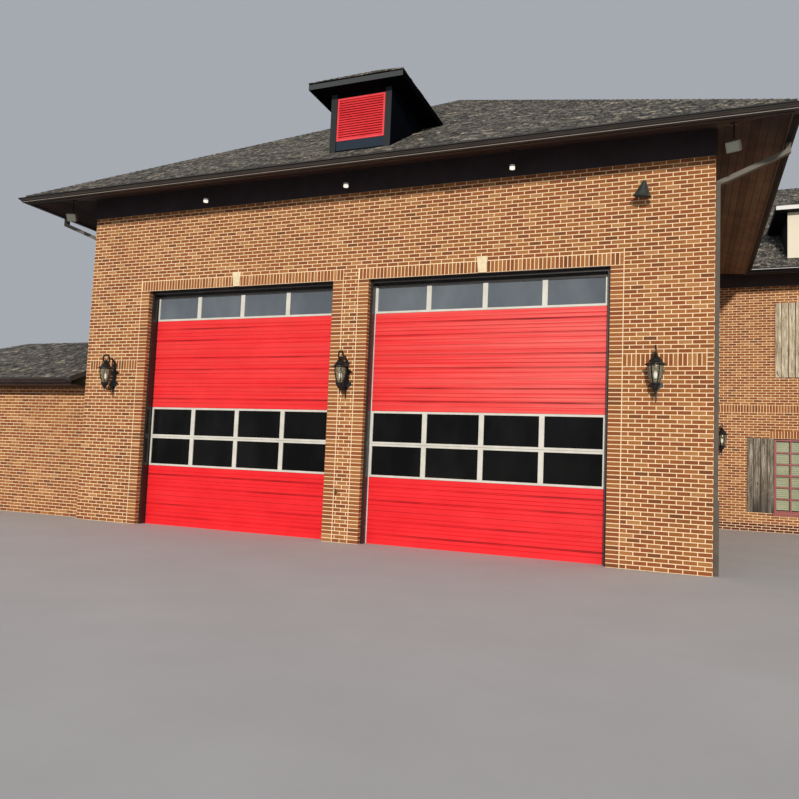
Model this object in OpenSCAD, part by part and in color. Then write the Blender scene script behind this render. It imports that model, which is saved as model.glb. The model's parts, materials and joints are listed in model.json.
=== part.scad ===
// Fire station: a two-bay engine house of brick under a hipped shingle roof, with a two-storey
// wing on its right and a one-storey wing on its left.
// Millimetres. X runs to the right along the front wall, Y runs into the building, Z is up.
// The origin is on the ground, at the middle of the middle pier's foot.

/* [Main block] */
// Width of the front wall
main_w = 12192; // [11800:10:12600]
// Thickness of the brick walls
wall_t = 305; // [250:5:400]
// Height of one brick course
course_h = 67.7; // [65:0.1:70]
// Courses of brick under the dark frieze board
brick_courses = 94; // [92:1:96]
// Thickness of the floor slabs on the ground
floor_t = 100; // [80:5:150]

/* [Door openings] */
// Width of each engine door opening
opening_w = 4216; // [4000:10:4400]
// Width of the middle pier
middle_pier_w = 711; // [600:10:900]
// Courses of brick from the ground to the head of the openings
head_courses = 70; // [66:1:72]
// Width of the bronze lining seen from the front
lining_w = 45; // [35:1:70]
// Distance from the wall's face to the lining's face
lining_setback = 110; // [80:5:130]
// Depth of the recess from the wall's face to the door's face
door_recess = 250; // [180:5:260]
// Height of the bronze header over the door
header_h = 55; // [45:1:80]
// Drop of the head stop that hangs in front of the door's top rail
stop_drop = 115; // [105:1:125]
// Thickness of the head stop
stop_t = 20; // [12:1:30]
// Width of the pale weather strips at a door's two ends
strip_w = 16; // [10:1:18]
// Thickness of the weather strips
strip_t = 6; // [4:1:8]

/* [Sectional doors] */
// Sections in each door, from the ground up
section_count = 8; // [8:1:8]
// Thickness of a door section
section_t = 50; // [40:1:60]
// Gap between one section and the next
section_gap = 4; // [3:0.5:8]
// Width of the bronze rebate that the door closes behind
door_rebate = 12; // [8:1:20]
// Depth of the wide grooves in a red section
groove_d = 14; // [8:0.5:18]
// Width of the wide grooves in a red section
groove_w = 34; // [24:1:44]
// Height of the aluminium rails
rail_h = 37; // [30:1:50]
// Width of the aluminium stiles
stile_w = 88; // [60:1:110]
// Width of the stiles that show at a door's two ends
end_stile_w = 50; // [40:1:70]
// Panes across each glazed section
pane_count = 4; // [3:1:5]
// Thickness of the door glass
pane_t = 12; // [6:1:18]

/* [Keystones] */
// Height of each keystone
keystone_h = 280; // [240:5:320]
// Width at the top of each keystone
keystone_top_w = 190; // [170:5:220]
// Width at the bottom of each keystone
keystone_foot_w = 135; // [110:5:150]
// How far a keystone stands out from the brick
keystone_out = 22; // [12:1:40]

/* [Eaves] */
// Distance from the wall's face to the fascia's face
overhang = 953; // [850:1:1050]
// Thickness of the fascia board
fascia_t = 25; // [20:1:40]
// Height of the gutter's front lip above the ground
gutter_top = 6570; // [6540:5:6620]
// Width of the gutter
gutter_w = 130; // [110:1:150]
// Height of the gutter
gutter_h = 80; // [70:1:90]
// Thickness of the gutter's metal
gutter_t = 4; // [3:0.5:6]
// How far the shingles reach over the gutter
shingle_lap = 32; // [20:1:50]
// Height of the sloping soffit where it meets the fascia
soffit_low = 6500; // [6480:5:6520]
// Height of the sloping soffit where it meets the wall
soffit_high = 6787; // [6700:5:6850]
// Thickness of the soffit boards
soffit_t = 22; // [18:1:30]
// Thickness of the frieze board
frieze_t = 25; // [18:1:40]
// Gap left between boards at a mitred corner
mitre_gap = 1; // [0.5:0.1:2]

/* [Roof] */
// Rise of the roof for each 12 of run
roof_rise = 7.5; // [6.8:0.1:8.2]
// Thickness of the roof deck with its shingles
roof_t = 100; // [80:5:130]
// Width of each wing of the ridge and hip caps
cap_w = 150; // [120:5:200]
// Thickness of the ridge and hip caps
cap_t = 16; // [10:1:25]

/* [Front dormer] */
// Distance of the dormer's middle from the middle of the front wall
dormer_x = 262; // [0:1:400]
// Distance of the dormer's face in front of the wall's face
dormer_out = 440; // [350:5:520]
// Width of the dormer's face
dormer_w = 1180; // [1100:10:1300]
// Height of the dormer's eave edge above the ground
dormer_top = 8165; // [8100:5:8300]
// Overhang of the dormer's roof
dormer_lap = 317; // [250:1:350]
// Height of the dormer's fascia board
dormer_fascia_h = 120; // [90:1:150]
// Thickness of the dormer's walls
dormer_wall_t = 90; // [70:1:120]
// Width of the dormer's corner boards
corner_board_w = 120; // [90:1:140]
// How far the corner boards stand out
corner_board_t = 20; // [12:1:30]
// Width of the louvre with its frame
louvre_w = 930; // [860:5:960]
// Height of the louvre with its frame
louvre_h = 790; // [700:5:800]
// Height of the panel under the louvre
louvre_sill = 200; // [180:5:230]
// Slats in the louvre
slat_count = 16; // [14:1:18]
// Width of the louvre's frame
louvre_frame = 34; // [28:1:45]
// Thickness of a slat
slat_t = 8; // [6:1:10]
// Slope of a slat
slat_angle = 55; // [45:1:60]
// Length of a slat from its front edge to its back edge
slat_d = 78; // [70:1:84]

/* [Right wing] */
// Distance of the wing's front wall behind the front wall
wing_setback = 9144; // [8800:4:9500]
// Distance of the wing's end wall from the main block
wing_w = 10465; // [10300:5:11000]
// Distance of the first window bay from the main block
bay_first = 2756; // [2700:1:2850]
// Distance between window bays
bay_pitch = 4857; // [4700:1:4900]
// Window bays along the wing
bay_count = 2; // [2:1:2]
// Width of the lower windows
lower_window_w = 2100; // [2000:5:2120]
// Height of the lower windows
lower_window_h = 1900; // [1800:5:2000]
// Sill height of the lower windows
lower_sill_z = 490; // [440:5:540]
// Width of the upper windows
upper_window_w = 820; // [760:5:900]
// Height of the upper windows
upper_window_h = 1940; // [1800:5:2000]
// Sill height of the upper windows
upper_sill_z = 3966; // [3900:5:4050]
// Top of the upper floor
upper_floor_z = 3320; // [3200:5:3400]
// Thickness of the upper floor
upper_floor_t = 280; // [200:5:320]
// Width of the window frames
frame_w = 60; // [50:1:80]
// Depth of the window frames
frame_d = 90; // [70:1:110]
// Depth of the reveal in front of the window frames
window_reveal = 90; // [70:1:110]
// Thickness of the window glass
glass_t = 10; // [6:1:14]
// Height of the window sills
sill_h = 70; // [55:1:90]
// How far the window sills stand out
sill_out = 40; // [25:1:60]
// Width of a shutter
shutter_w = 620; // [560:5:640]
// Thickness of a shutter
shutter_t = 40; // [30:1:55]
// Boards in a shutter
shutter_boards = 4; // [3:1:6]

/* [Wing dormer] */
// Width of the wing dormer
wing_dormer_w = 1600; // [1500:10:1700]
// Distance of the wing dormer's face in front of the wing's wall
wing_dormer_out = 440; // [350:5:500]
// Height of the wing dormer's eave edge above the ground
wing_dormer_top = 8260; // [8220:5:8320]
// Overhang of the wing dormer's roof
wing_dormer_lap = 290; // [260:5:330]
// Height of the wing dormer's fascia board
wing_dormer_fascia_h = 100; // [80:1:130]
// Width of the wing dormer's window
dormer_window_w = 800; // [700:5:900]
// Height of the wing dormer's window
dormer_window_h = 700; // [600:5:740]
// Height of the panel under the wing dormer's window
dormer_window_sill = 220; // [190:5:240]

/* [Left wing] */
// Length of the left wing
left_wing_w = 6800; // [6400:10:7200]
// Depth of the left wing
left_wing_d = 4470; // [4300:10:4700]
// Distance of the left wing's front wall behind the front wall
left_wing_setback = 220; // [150:5:300]
// Height of the left wing's gutter lip
left_gutter_top = 2880; // [2820:5:2940]
// Distance from the left wing's wall to its fascia
left_overhang = 640; // [560:5:700]
// Rise of the left wing's roof for each 12 of run
left_rise = 5; // [4.6:0.1:5.4]
// Drop of the left wing's level soffit below the gutter's lip
left_soffit_drop = 120; // [115:1:150]

/* [Lamps and fittings] */
// Height of the middle of the wall lanterns
lantern_z = 2980; // [2950:5:3100]
// Width across the lantern's brim
lantern_w = 316; // [300:2:330]
// Distance from the wall to the lantern's middle
lantern_out = 260; // [250:1:280]
// Thickness of the lantern's ribs, ring and arms
lantern_bar = 25; // [20:1:27]
// Distance of the wing's lantern from the main block
wing_lantern_in = 470; // [420:5:520]
// Height of the middle of the wing's lantern
wing_lantern_z = 2315; // [2250:5:2450]
// Offset of the right lantern from the middle of its pier
right_lantern_offset = -56; // [-120:1:60]
// Distance from the middle lamp to the lamps beside it
soffit_lamp_pitch = 3020; // [2900:5:3100]
// Distance of the soffit lamps from the wall
soffit_lamp_out = 380; // [340:5:450]
// Length of the soffit lamps
soffit_lamp_drop = 330; // [300:5:360]
// Distance of the corner floodlights from the front wall
floodlight_out = 450; // [420:5:520]
// Distance of the corner floodlights past the main block's side
floodlight_side = 230; // [150:5:300]
// Length of the corner floodlights' arms
floodlight_drop = 265; // [220:5:300]
// Distance of the wall floodlight from the right end of the front wall
wall_floodlight_in = 1022; // [950:2:1150]
// Height of the wall floodlight's top
wall_floodlight_z = 5998; // [5900:2:6060]
// Width across the wall floodlight's mouth
bell_w = 306; // [280:2:320]
// Height of the wall floodlight's bell
bell_h = 240; // [225:5:260]
// Height of the hose tap
tap_z = 900; // [800:5:1000]
// Width of the downspouts along the wall
downspout_w = 90; // [76:1:110]
// Depth of the downspouts out from the wall
downspout_d = 72; // [60:1:85]
// Distance of the downspouts behind the front wall's face
downspout_back = 85; // [60:1:120]
// Height of the elbow at a downspout's top
downspout_elbow_z = 5960; // [5900:5:6050]
// Height of the cast boot at a downspout's foot
boot_h = 1100; // [950:5:1200]

/* [Hidden] */

// A long reach, past every piece that is cut
far = 60000;
// A tiny overlap that lets one cut pass cleanly through another face
eps = 1;

// Main heights and places
half_w = main_w / 2;
main_d = wing_setback + main_w;
wing_x = half_w + wing_w;
brick_top = brick_courses * course_h;
head_z = head_courses * course_h;
pitch = roof_rise / 12;
pitch_angle = atan(pitch);
roof_drop = roof_t / cos(pitch_angle);
roof_edge = overhang + shingle_lap;
roof_edge_z = gutter_top + pitch * (gutter_w - shingle_lap);
ridge_z = roof_edge_z + pitch * (half_w + roof_edge);
function roof_top(out) = roof_edge_z + pitch * (roof_edge - out);
function roof_under(out) = roof_top(out) - roof_drop;
wall_top = roof_under(0);

// The soffit falls in a straight line from the wall to the fascia
soffit_run = overhang - fascia_t;
function soffit_under(out) = soffit_high - (soffit_high - soffit_low) * out / soffit_run;

// Door places
opening_x = middle_pier_w / 2;
pier_x = opening_x + opening_w;
door_x = [-(opening_x + opening_w / 2), opening_x + opening_w / 2];
door_w = opening_w - 2 * lining_w + 2 * door_rebate;
door_top = head_z - stop_drop + rail_h;
// The steel lintel that carries the bricks over an opening
lintel_back = 8;
lintel_t = 10;
// The bottom of each section; the top one runs up behind the header
section_h = (head_z + 4) / section_count;
function section_z(i) = i * section_h;
function section_top(i) = min((i + 1) * section_h - section_gap, door_top);
red_sections = [0, 1, 4, 5, 6];
glazed_sections = [2, 3, 7];
pane_rebate = 8;
pane_pitch = (door_w - 2 * door_rebate + stile_w - 2 * end_stile_w) / pane_count;

// The walls of the building in clockwise order, seen from above. Each row holds the start
// corner, the heading, the length and the kind of corner at each end: 1 outside, -1 inside.
runs = [
    [[half_w, 0], 180, main_w, 1, 1],
    [[-half_w, 0], 90, main_d, 1, 1],
    [[-half_w, main_d], 0, half_w + wing_x, 1, 1],
    [[wing_x, main_d], -90, main_w, 1, 1],
    [[wing_x, wing_setback], 180, wing_w, 1, -1],
    [[half_w, wing_setback], -90, wing_setback, -1, 1]
];

// Left wing heights and places
left_pitch = left_rise / 12;
left_angle = atan(left_pitch);
left_edge = left_overhang + shingle_lap;
left_edge_z = left_gutter_top + left_pitch * (gutter_w - shingle_lap);
left_drop = roof_t / cos(left_angle);
function left_roof_under(out) = left_edge_z + left_pitch * (left_edge - out) - left_drop;
left_wall_top = left_roof_under(0);
left_soffit_z = left_gutter_top - left_soffit_drop;
left_x = -half_w - left_wing_w;
left_runs = [
    [[-half_w, left_wing_setback], 180, left_wing_w, 0, 1],
    [[left_x, left_wing_setback], 90, left_wing_d, 1, 1],
    [[left_x, left_wing_setback + left_wing_d], 0, left_wing_w, 1, 0]
];

// Window places: position on the wall's outer face, the turn of the wall, width, height, sill
wing_bays = [for (i = [0 : bay_count - 1]) half_w + bay_first + i * bay_pitch];
end_bay_y = wing_setback + main_w / 2;
function pair(p, turn) = [
    [p, turn, lower_window_w, lower_window_h, lower_sill_z],
    [p, turn, upper_window_w, upper_window_h, upper_sill_z]
];
front_windows = [for (x = wing_bays) for (w = pair([x, wing_setback], 0)) w];
back_windows = [for (x = wing_bays) for (w = pair([x, main_d], 180)) w];
end_windows = pair([wing_x, end_bay_y], 90);
windows = concat(front_windows, back_windows, end_windows);

// Lamp places
pier_mid = (pier_x + half_w) / 2;
lantern_spots = [
    [[-pier_mid, 0, lantern_z], 0], [[0, 0, lantern_z], 0],
    [[pier_mid + right_lantern_offset, 0, lantern_z], 0],
    [[half_w + wing_lantern_in, wing_setback, wing_lantern_z], 0]
];

brick = "peru";
bronze = "dimgray";
shingle = "slategray";
door_red = "crimson";

// Everything below is drawn with the front wall's outer face at y = 0; this sets the wall's
// middle on the origin instead
module placed() {
    translate([0, -wall_t / 2, 0]) children();
}

// Sweeps a profile along a wall; the profile's x is the distance out from the wall
module run_along(run, reach) {
    len = run[2];
    translate([run[0][0], run[0][1], 0]) rotate([0, 0, run[1]])
        intersection() {
            translate([-reach, 0, 0]) rotate([90, 0, 90]) linear_extrude(len + 2 * reach) children();
            translate([0, 0, -eps]) linear_extrude(far) polygon([
                [run[3] == 0 ? 0 : mitre_gap, 0],
                [run[4] == 0 ? len : len - mitre_gap, 0],
                [run[4] == 0 ? len : len - mitre_gap + run[4] * reach, reach],
                [run[3] == 0 ? 0 : mitre_gap - run[3] * reach, reach]
            ]);
        }
}

// One slope of a hipped roof, as a plate cut by the hips and valleys at its ends; gap is the
// part of a joint with the next slope that is left open
module slope(run, edge, edge_z, angle, half, gap = 0) {
    len = run[2];
    a = [-run[3] * (edge - gap), edge];
    b = [len + run[4] * (edge - gap), edge];
    c = [len - run[4] * (half + gap), -half + gap];
    d = [run[3] * (half + gap), -half + gap];
    outline = c[0] - d[0] > eps ? [a, b, c, d] : [a, b, [(c[0] + d[0]) / 2, d[1]]];
    translate([run[0][0], run[0][1], 0]) rotate([0, 0, run[1]])
        intersection() {
            linear_extrude(far) polygon(outline);
            translate([-len, edge, edge_z]) rotate([-angle, 0, 0])
                translate([0, -4 * half, -roof_t]) cube([3 * len, 5 * half, roof_t]);
        }
}

module box(low, high) {
    translate(low) cube([for (i = [0 : 2]) high[i] - low[i]]);
}

// Turns a piece drawn on a front wall to another wall; its middle is at x = 0, its face at y = 0
module on_wall(p, turn) {
    translate([p[0], p[1], 0]) rotate([0, 0, turn]) children();
}

// The ground floor of the engine house
module bay_floor() {
    placed() color("gray") box([-half_w + wall_t, wall_t, 0], [half_w - wall_t, main_d - wall_t, floor_t]);
}

module front_left_pier() {
    placed() color(brick) box([-half_w, 0, 0], [-pier_x, wall_t, head_z]);
}

module front_middle_pier() {
    placed() color(brick) box([-opening_x, 0, 0], [opening_x, wall_t, head_z]);
}

module front_right_pier() {
    placed() color(brick) box([pier_x, 0, 0], [half_w, wall_t, head_z]);
}

module front_head_wall() {
    placed() color(brick) box([-half_w, 0, head_z], [half_w, wall_t, wall_top]);
}

module left_wall() {
    placed() color(brick) box([-half_w, wall_t, 0], [-half_w + wall_t, main_d - wall_t, wall_top]);
}

module right_wall() {
    placed() color(brick) box([half_w - wall_t, wall_t, 0], [half_w, main_d - wall_t, wall_top]);
}

// The openings of a list of windows, cut through a wall
module window_cuts(list) {
    for (w = list) on_wall(w[0], w[1])
        box([-w[2] / 2, -eps, w[4]], [w[2] / 2, wall_t + eps, w[4] + w[3]]);
}

module back_wall() {
    placed() color(brick) difference() {
        box([-half_w, main_d - wall_t, 0], [wing_x, main_d, wall_top]);
        window_cuts(back_windows);
    }
}

module wing_front_wall() {
    placed() color(brick) difference() {
        box([half_w, wing_setback, 0], [wing_x, wing_setback + wall_t, wall_top]);
        window_cuts(front_windows);
    }
}

module wing_end_wall() {
    placed() color(brick) difference() {
        box([wing_x - wall_t, wing_setback + wall_t, 0], [wing_x, main_d - wall_t, wall_top]);
        window_cuts(end_windows);
    }
}

// The limestone keystones over the doors
module keystones() {
    placed() color("wheat") for (x = door_x) translate([x, 0, head_z])
        rotate([90, 0, 0]) linear_extrude(keystone_out) polygon([
            [-keystone_foot_w / 2, 0], [keystone_foot_w / 2, 0],
            [keystone_top_w / 2, keystone_h], [-keystone_top_w / 2, keystone_h]
        ]);
}

// The bronze lining of one door opening: two jambs and a head, with a rebate behind for the
// door, a stop that hangs from the head in front of it, and the lintel's flat leg over it
module door_lining(x) {
    inner = opening_w / 2 - lining_w;
    placed() color(bronze) translate([x, 0, 0]) difference() {
        union() {
            box([-opening_w / 2, lining_setback, 0], [opening_w / 2, wall_t, head_z]);
            box([-opening_w / 2, lintel_back, head_z - lintel_t],
                [opening_w / 2, lining_setback + eps, head_z]);
        }
        box([-inner, 0, -eps], [inner, door_recess - stop_t, head_z - header_h]);
        box([-inner, 0, -eps], [inner, wall_t + eps, head_z - stop_drop]);
        box([-inner - door_rebate, door_recess, -eps],
            [inner + door_rebate, wall_t + eps, head_z - header_h]);
    }
}

module left_door_lining() {
    door_lining(door_x[0]);
}

// The pale strips on the linings that the doors' two ends run against
module weather_strips() {
    edge = opening_w / 2 - lining_w;
    placed() color("gainsboro") for (x = door_x) for (side = [0, 1])
        translate([x, 0, 0]) mirror([side, 0, 0])
            box([edge - strip_w, door_recess - strip_t, 0], [edge, door_recess, head_z - stop_drop]);
}

module right_door_lining() {
    door_lining(door_x[1]);
}

// The edge-on outline of a red section, with two wide grooves and four narrow ones
module section_outline(height) {
    wide = [0.30, 0.70];
    narrow = [0.165, 0.445, 0.555, 0.835];
    narrow_w = groove_w / 2;
    difference() {
        square([section_t, height]);
        for (s = wide) translate([0, s * height])
            polygon([[-eps, -groove_w / 2 - eps], [groove_d, -groove_w / 5], [groove_d, groove_w / 5],
                [-eps, groove_w / 2 + eps]]);
        for (s = narrow) translate([0, s * height])
            polygon([[-eps, -narrow_w / 2 - eps], [groove_d / 2, 0], [-eps, narrow_w / 2 + eps]]);
    }
}

module red_door_sections(x) {
    placed() color(door_red) for (i = red_sections) translate([x - door_w / 2, door_recess, section_z(i)])
        rotate([90, 0, 90]) linear_extrude(door_w) section_outline(section_top(i) - section_z(i));
}

module left_door_red_sections() {
    red_door_sections(door_x[0]);
}

module right_door_red_sections() {
    red_door_sections(door_x[1]);
}

// The openings or panes of one glazed section; grow is the rebate that the glass fills
module section_panes(i, y0, y1, grow) {
    low = section_z(i) + rail_h;
    high = section_top(i) - rail_h;
    for (k = [0 : pane_count - 1]) {
        mid = (k - (pane_count - 1) / 2) * pane_pitch;
        half = (pane_pitch - stile_w) / 2;
        box([mid - half - grow, y0, low - grow], [mid + half + grow, y1, high + grow]);
    }
}

module glazed_door_sections(x) {
    placed() color("gainsboro") translate([x, 0, 0]) for (i = glazed_sections) difference() {
        box([-door_w / 2, door_recess, section_z(i)],
            [door_w / 2, door_recess + section_t, section_top(i)]);
        section_panes(i, door_recess - eps, door_recess + section_t + eps, 0);
        section_panes(i, door_recess + (section_t - pane_t) / 2,
            door_recess + (section_t + pane_t) / 2, pane_rebate);
    }
}

module left_door_glazed_sections() {
    glazed_door_sections(door_x[0]);
}

module right_door_glazed_sections() {
    glazed_door_sections(door_x[1]);
}

module door_panes(x) {
    placed() color("darkslategray", 0.6) translate([x, 0, 0]) for (i = glazed_sections)
        section_panes(i, door_recess + (section_t - pane_t) / 2,
            door_recess + (section_t + pane_t) / 2, pane_rebate);
}

module left_door_glass() {
    door_panes(door_x[0]);
}

module right_door_glass() {
    door_panes(door_x[1]);
}

// The dark board that closes the brickwork under the soffit
module frieze_boards() {
    placed() color("black") for (r = runs) run_along(r, frieze_t)
        polygon([[0, brick_top], [frieze_t, brick_top], [frieze_t, soffit_under(frieze_t)],
            [0, soffit_under(0)]]);
}

module soffit_boards() {
    placed() color("saddlebrown") for (r = runs) run_along(r, soffit_run)
        polygon([[0, soffit_high], [soffit_run, soffit_low], [soffit_run, soffit_low + soffit_t],
            [0, soffit_high + soffit_t]]);
}

module fascia_boards() {
    placed() color("saddlebrown") for (r = runs) run_along(r, overhang)
        polygon([[soffit_run, soffit_low - soffit_t], [overhang, soffit_low - soffit_t],
            [overhang, roof_under(overhang)], [soffit_run, roof_under(soffit_run)]]);
}

// The gutter's trough: a low back, a flat bottom, an ogee front and a rolled lip
module gutter_outline(back_h) {
    front = [[0.63, 0], [0.68, 0.31], [0.80, 0.53], [0.97, 0.66], [1, 0.87], [1, 1]];
    outer = [for (p = front) [p[0] * gutter_w, p[1] * gutter_h]];
    inner = [for (i = [len(front) - 1 : -1 : 0])
        [outer[i][0] - gutter_t, max(outer[i][1], gutter_t)]];
    polygon(concat([[0, back_h], [0, 0]], outer, inner, [[gutter_t, gutter_t], [gutter_t, back_h]]));
}

module gutters() {
    low = gutter_top - gutter_h;
    back_h = roof_under(overhang + gutter_t) - low - eps;
    placed() color(bronze) for (r = runs) run_along(r, overhang + gutter_w)
        translate([overhang, low]) gutter_outline(back_h);
}

// The outline of a bent strip of even width that follows a path, with mitred bends
function turned(v) = [-v[1], v[0]];
function leg(path, i) = (path[i + 1] - path[i]) / norm(path[i + 1] - path[i]);
function mitre(path, i) = let(
    last = len(path) - 1,
    a = turned(leg(path, i == 0 ? 0 : i - 1)),
    b = turned(leg(path, i == last ? last - 1 : i))
) (a + b) / (1 + a * b);
module bent_strip(path, width) {
    last = len(path) - 1;
    left = [for (i = [0 : last]) path[i] + mitre(path, i) * width / 2];
    right = [for (i = [last : -1 : 0]) path[i] - mitre(path, i) * width / 2];
    polygon(concat(left, right));
}

// A downspout drawn on a side wall whose face is x = 0, from its foot up to the gutter's outlet
module downspout(foot_z) {
    outlet_x = overhang + gutter_w / 3;
    outlet_z = gutter_top - gutter_h;
    bend_z = outlet_z - 130;
    middle = downspout_d / 2;
    translate([0, downspout_w / 2, 0]) rotate([90, 0, 0]) linear_extrude(downspout_w)
        bent_strip([[middle, foot_z], [middle, downspout_elbow_z], [outlet_x, bend_z],
            [outlet_x, outlet_z]], downspout_d);
}

// The right downspout stands in a cast boot; the left one ends above the low roof
module downspouts() {
    y = downspout_back + downspout_w / 2;
    rim = 14;
    left_foot = left_edge_z + left_pitch * left_edge + 60;
    placed() color(bronze) {
        translate([half_w, y, 0]) union() {
            downspout(boot_h - eps);
            box([0, -downspout_w / 2 - rim, 0], [downspout_d + rim, downspout_w / 2 + rim, boot_h]);
        }
        translate([-half_w, y, 0]) mirror([1, 0, 0]) downspout(left_foot);
    }
}

module roof_front() {
    placed() color(shingle) slope(runs[0], roof_edge, roof_edge_z, pitch_angle, half_w);
}

module roof_left() {
    placed() color(shingle) slope(runs[1], roof_edge, roof_edge_z, pitch_angle, half_w);
}

module roof_back() {
    placed() color(shingle) slope(runs[2], roof_edge, roof_edge_z, pitch_angle, half_w);
}

module wing_roof_end() {
    placed() color(shingle) slope(runs[3], roof_edge, roof_edge_z, pitch_angle, half_w);
}

module wing_roof_front() {
    placed() color(shingle) slope(runs[4], roof_edge, roof_edge_z, pitch_angle, half_w);
}

module roof_right() {
    placed() color(shingle) slope(runs[5], roof_edge, roof_edge_z, pitch_angle, half_w);
}

// A bent strip along a ridge or hip, from p to q; side is how fast the roof falls beside it
module cap_strip(p, q, side) {
    flat = norm([q[0] - p[0], q[1] - p[1]]);
    heading = atan2(q[1] - p[1], q[0] - p[0]);
    climb = atan2(q[2] - p[2], flat);
    length = norm(q - p);
    drop = cap_w * side;
    translate(p) rotate([0, 0, heading]) rotate([0, -climb, 0])
        rotate([90, 0, 90]) linear_extrude(length) polygon([
            [0, 0], [cap_w, -drop], [cap_w, cap_t - drop], [0, cap_t],
            [-cap_w, cap_t - drop], [-cap_w, -drop]
        ]);
}

// Caps on the hips and ridges; a hip falls to each side by the pitch over the root of two,
// seen square to the hip
module roof_caps() {
    hip_side = pitch / sqrt(2) / sqrt(1 + pitch * pitch / 2);
    ends = 220;
    e = roof_edge;
    front_peak = [0, half_w, ridge_z];
    knee = [0, wing_setback + half_w, ridge_z];
    end_peak = [wing_x - half_w, wing_setback + half_w, ridge_z];
    corners = [
        [[-half_w - e, -e, roof_edge_z], front_peak],
        [[half_w + e, -e, roof_edge_z], front_peak],
        [[-half_w - e, main_d + e, roof_edge_z], knee],
        [[wing_x + e, wing_setback - e, roof_edge_z], end_peak],
        [[wing_x + e, main_d + e, roof_edge_z], end_peak]
    ];
    placed() color(shingle) {
        for (c = corners) {
            dir = (c[1] - c[0]) / norm(c[1] - c[0]);
            cap_strip(c[0] + dir * 60, c[1] - dir * ends, hip_side);
        }
        cap_strip(front_peak, knee - [0, 1, 0], pitch);
        cap_strip(knee + [cap_w + 2, 0, 0], end_peak, pitch);
    }
}

// A dormer's solid body up to its eave, standing on a slope; x = 0 is its middle, y = 0 the
// wall's outer face below it
module dormer_body(width, front, top) {
    back = roof_edge + (roof_edge_z - top) / pitch;
    intersection() {
        box([-width / 2, -front, 0], [width / 2, -back + eps, top]);
        translate([-far / 2, -roof_edge, roof_edge_z]) rotate([pitch_angle, 0, 0])
            translate([0, -far / 2, 0]) cube([far, far, far / 2]);
    }
}

// The walls of a dormer: a front and two cheeks, open behind, with an opening in the front
module dormer_shell(width, front, top, hole_w, hole_low, hole_high) {
    difference() {
        dormer_body(width, front, top);
        box([-width / 2 + dormer_wall_t, -front + dormer_wall_t, 0],
            [width / 2 - dormer_wall_t, far / 2, top + eps]);
        box([-hole_w / 2, -front - eps, hole_low], [hole_w / 2, -front + dormer_wall_t + eps, hole_high]);
    }
}

// The half space under a roof slope that falls to the right, down to an eave edge
module below_side(edge, edge_z) {
    translate([edge, 0, edge_z]) rotate([0, pitch_angle, 0])
        translate([-far / 2, -far / 2, -far / 2]) cube([far / 2, far, far / 2]);
}

// A small hipped roof on a dormer, running back into the slope, with a deep fascia and a soffit
module dormer_hip(width, front, top, lap, fascia_h) {
    half = width / 2 + lap;
    y0 = -front - lap;
    peak_z = top + half * pitch;
    far_y = -roof_edge + (peak_z - roof_edge_z) / pitch + 200;
    soffit_z = top - fascia_h;
    difference() {
        union() {
            box([-half, y0, soffit_z], [half, far_y, top]);
            intersection() {
                box([-half, y0, top - eps], [half, far_y, peak_z + eps]);
                below_side(half, top);
                mirror([1, 0, 0]) below_side(half, top);
                translate([0, y0, top]) rotate([pitch_angle, 0, 0])
                    translate([-far / 2, 0, -far / 2]) cube([far, far / 2, far / 2]);
            }
        }
        translate([-far / 2, -roof_edge, roof_edge_z]) rotate([pitch_angle, 0, 0])
            translate([0, -far / 2, -far / 2]) cube([far, far, far / 2]);
    }
}

module front_dormer_place() {
    translate([dormer_x, 0, 0]) children();
}

louvre_low = roof_top(dormer_out) + louvre_sill;

module dormer_walls() {
    top = dormer_top - dormer_fascia_h;
    placed() color("dimgray") front_dormer_place() union() {
        dormer_shell(dormer_w, dormer_out, top, louvre_w, louvre_low, louvre_low + louvre_h);
        for (side = [-1, 1]) intersection() {
            translate([side * (dormer_w - corner_board_w) / 2, 0, 0])
                dormer_body(corner_board_w, dormer_out + corner_board_t, top);
            box([-far / 2, -dormer_out - corner_board_t, 0], [far / 2, -dormer_out + eps, far / 2]);
        }
    }
}

// The louvre: a frame and sloping slats that rest in it
module dormer_louvre() {
    inner_w = louvre_w - 2 * louvre_frame;
    inner_h = louvre_h - 2 * louvre_frame;
    step = inner_h / slat_count;
    placed() color(door_red) front_dormer_place()
        translate([0, -dormer_out - corner_board_t / 2, louvre_low]) {
        difference() {
            box([-louvre_w / 2, 0, 0], [louvre_w / 2, dormer_wall_t, louvre_h]);
            box([-inner_w / 2, -eps, louvre_frame],
                [inner_w / 2, dormer_wall_t + eps, louvre_h - louvre_frame]);
        }
        for (i = [0 : slat_count - 1])
            translate([-inner_w / 2, slat_t, louvre_frame + i * step]) rotate([slat_angle, 0, 0])
                cube([inner_w, slat_d, slat_t]);
    }
}

module dormer_roof() {
    placed() color(shingle) front_dormer_place()
        dormer_hip(dormer_w, dormer_out, dormer_top, dormer_lap, dormer_fascia_h);
}

// Lantern parts, with the lantern's middle at x = 0, y = 0 and the wall's face at y = lantern_out
lantern_r = lantern_w / 2;
glass_low = -150;
glass_high = 130;
// The outline of the glass from its foot to its top: share of the brim's radius, share of the height
glass_curve = [[0.36, 0], [0.50, 0.2], [0.61, 0.42], [0.69, 0.65], [0.71, 0.85], [0.68, 1]];
glass_path = [for (p = glass_curve) [p[0] * lantern_r, glass_low + p[1] * (glass_high - glass_low)]];
glass_wall = 4;

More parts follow.
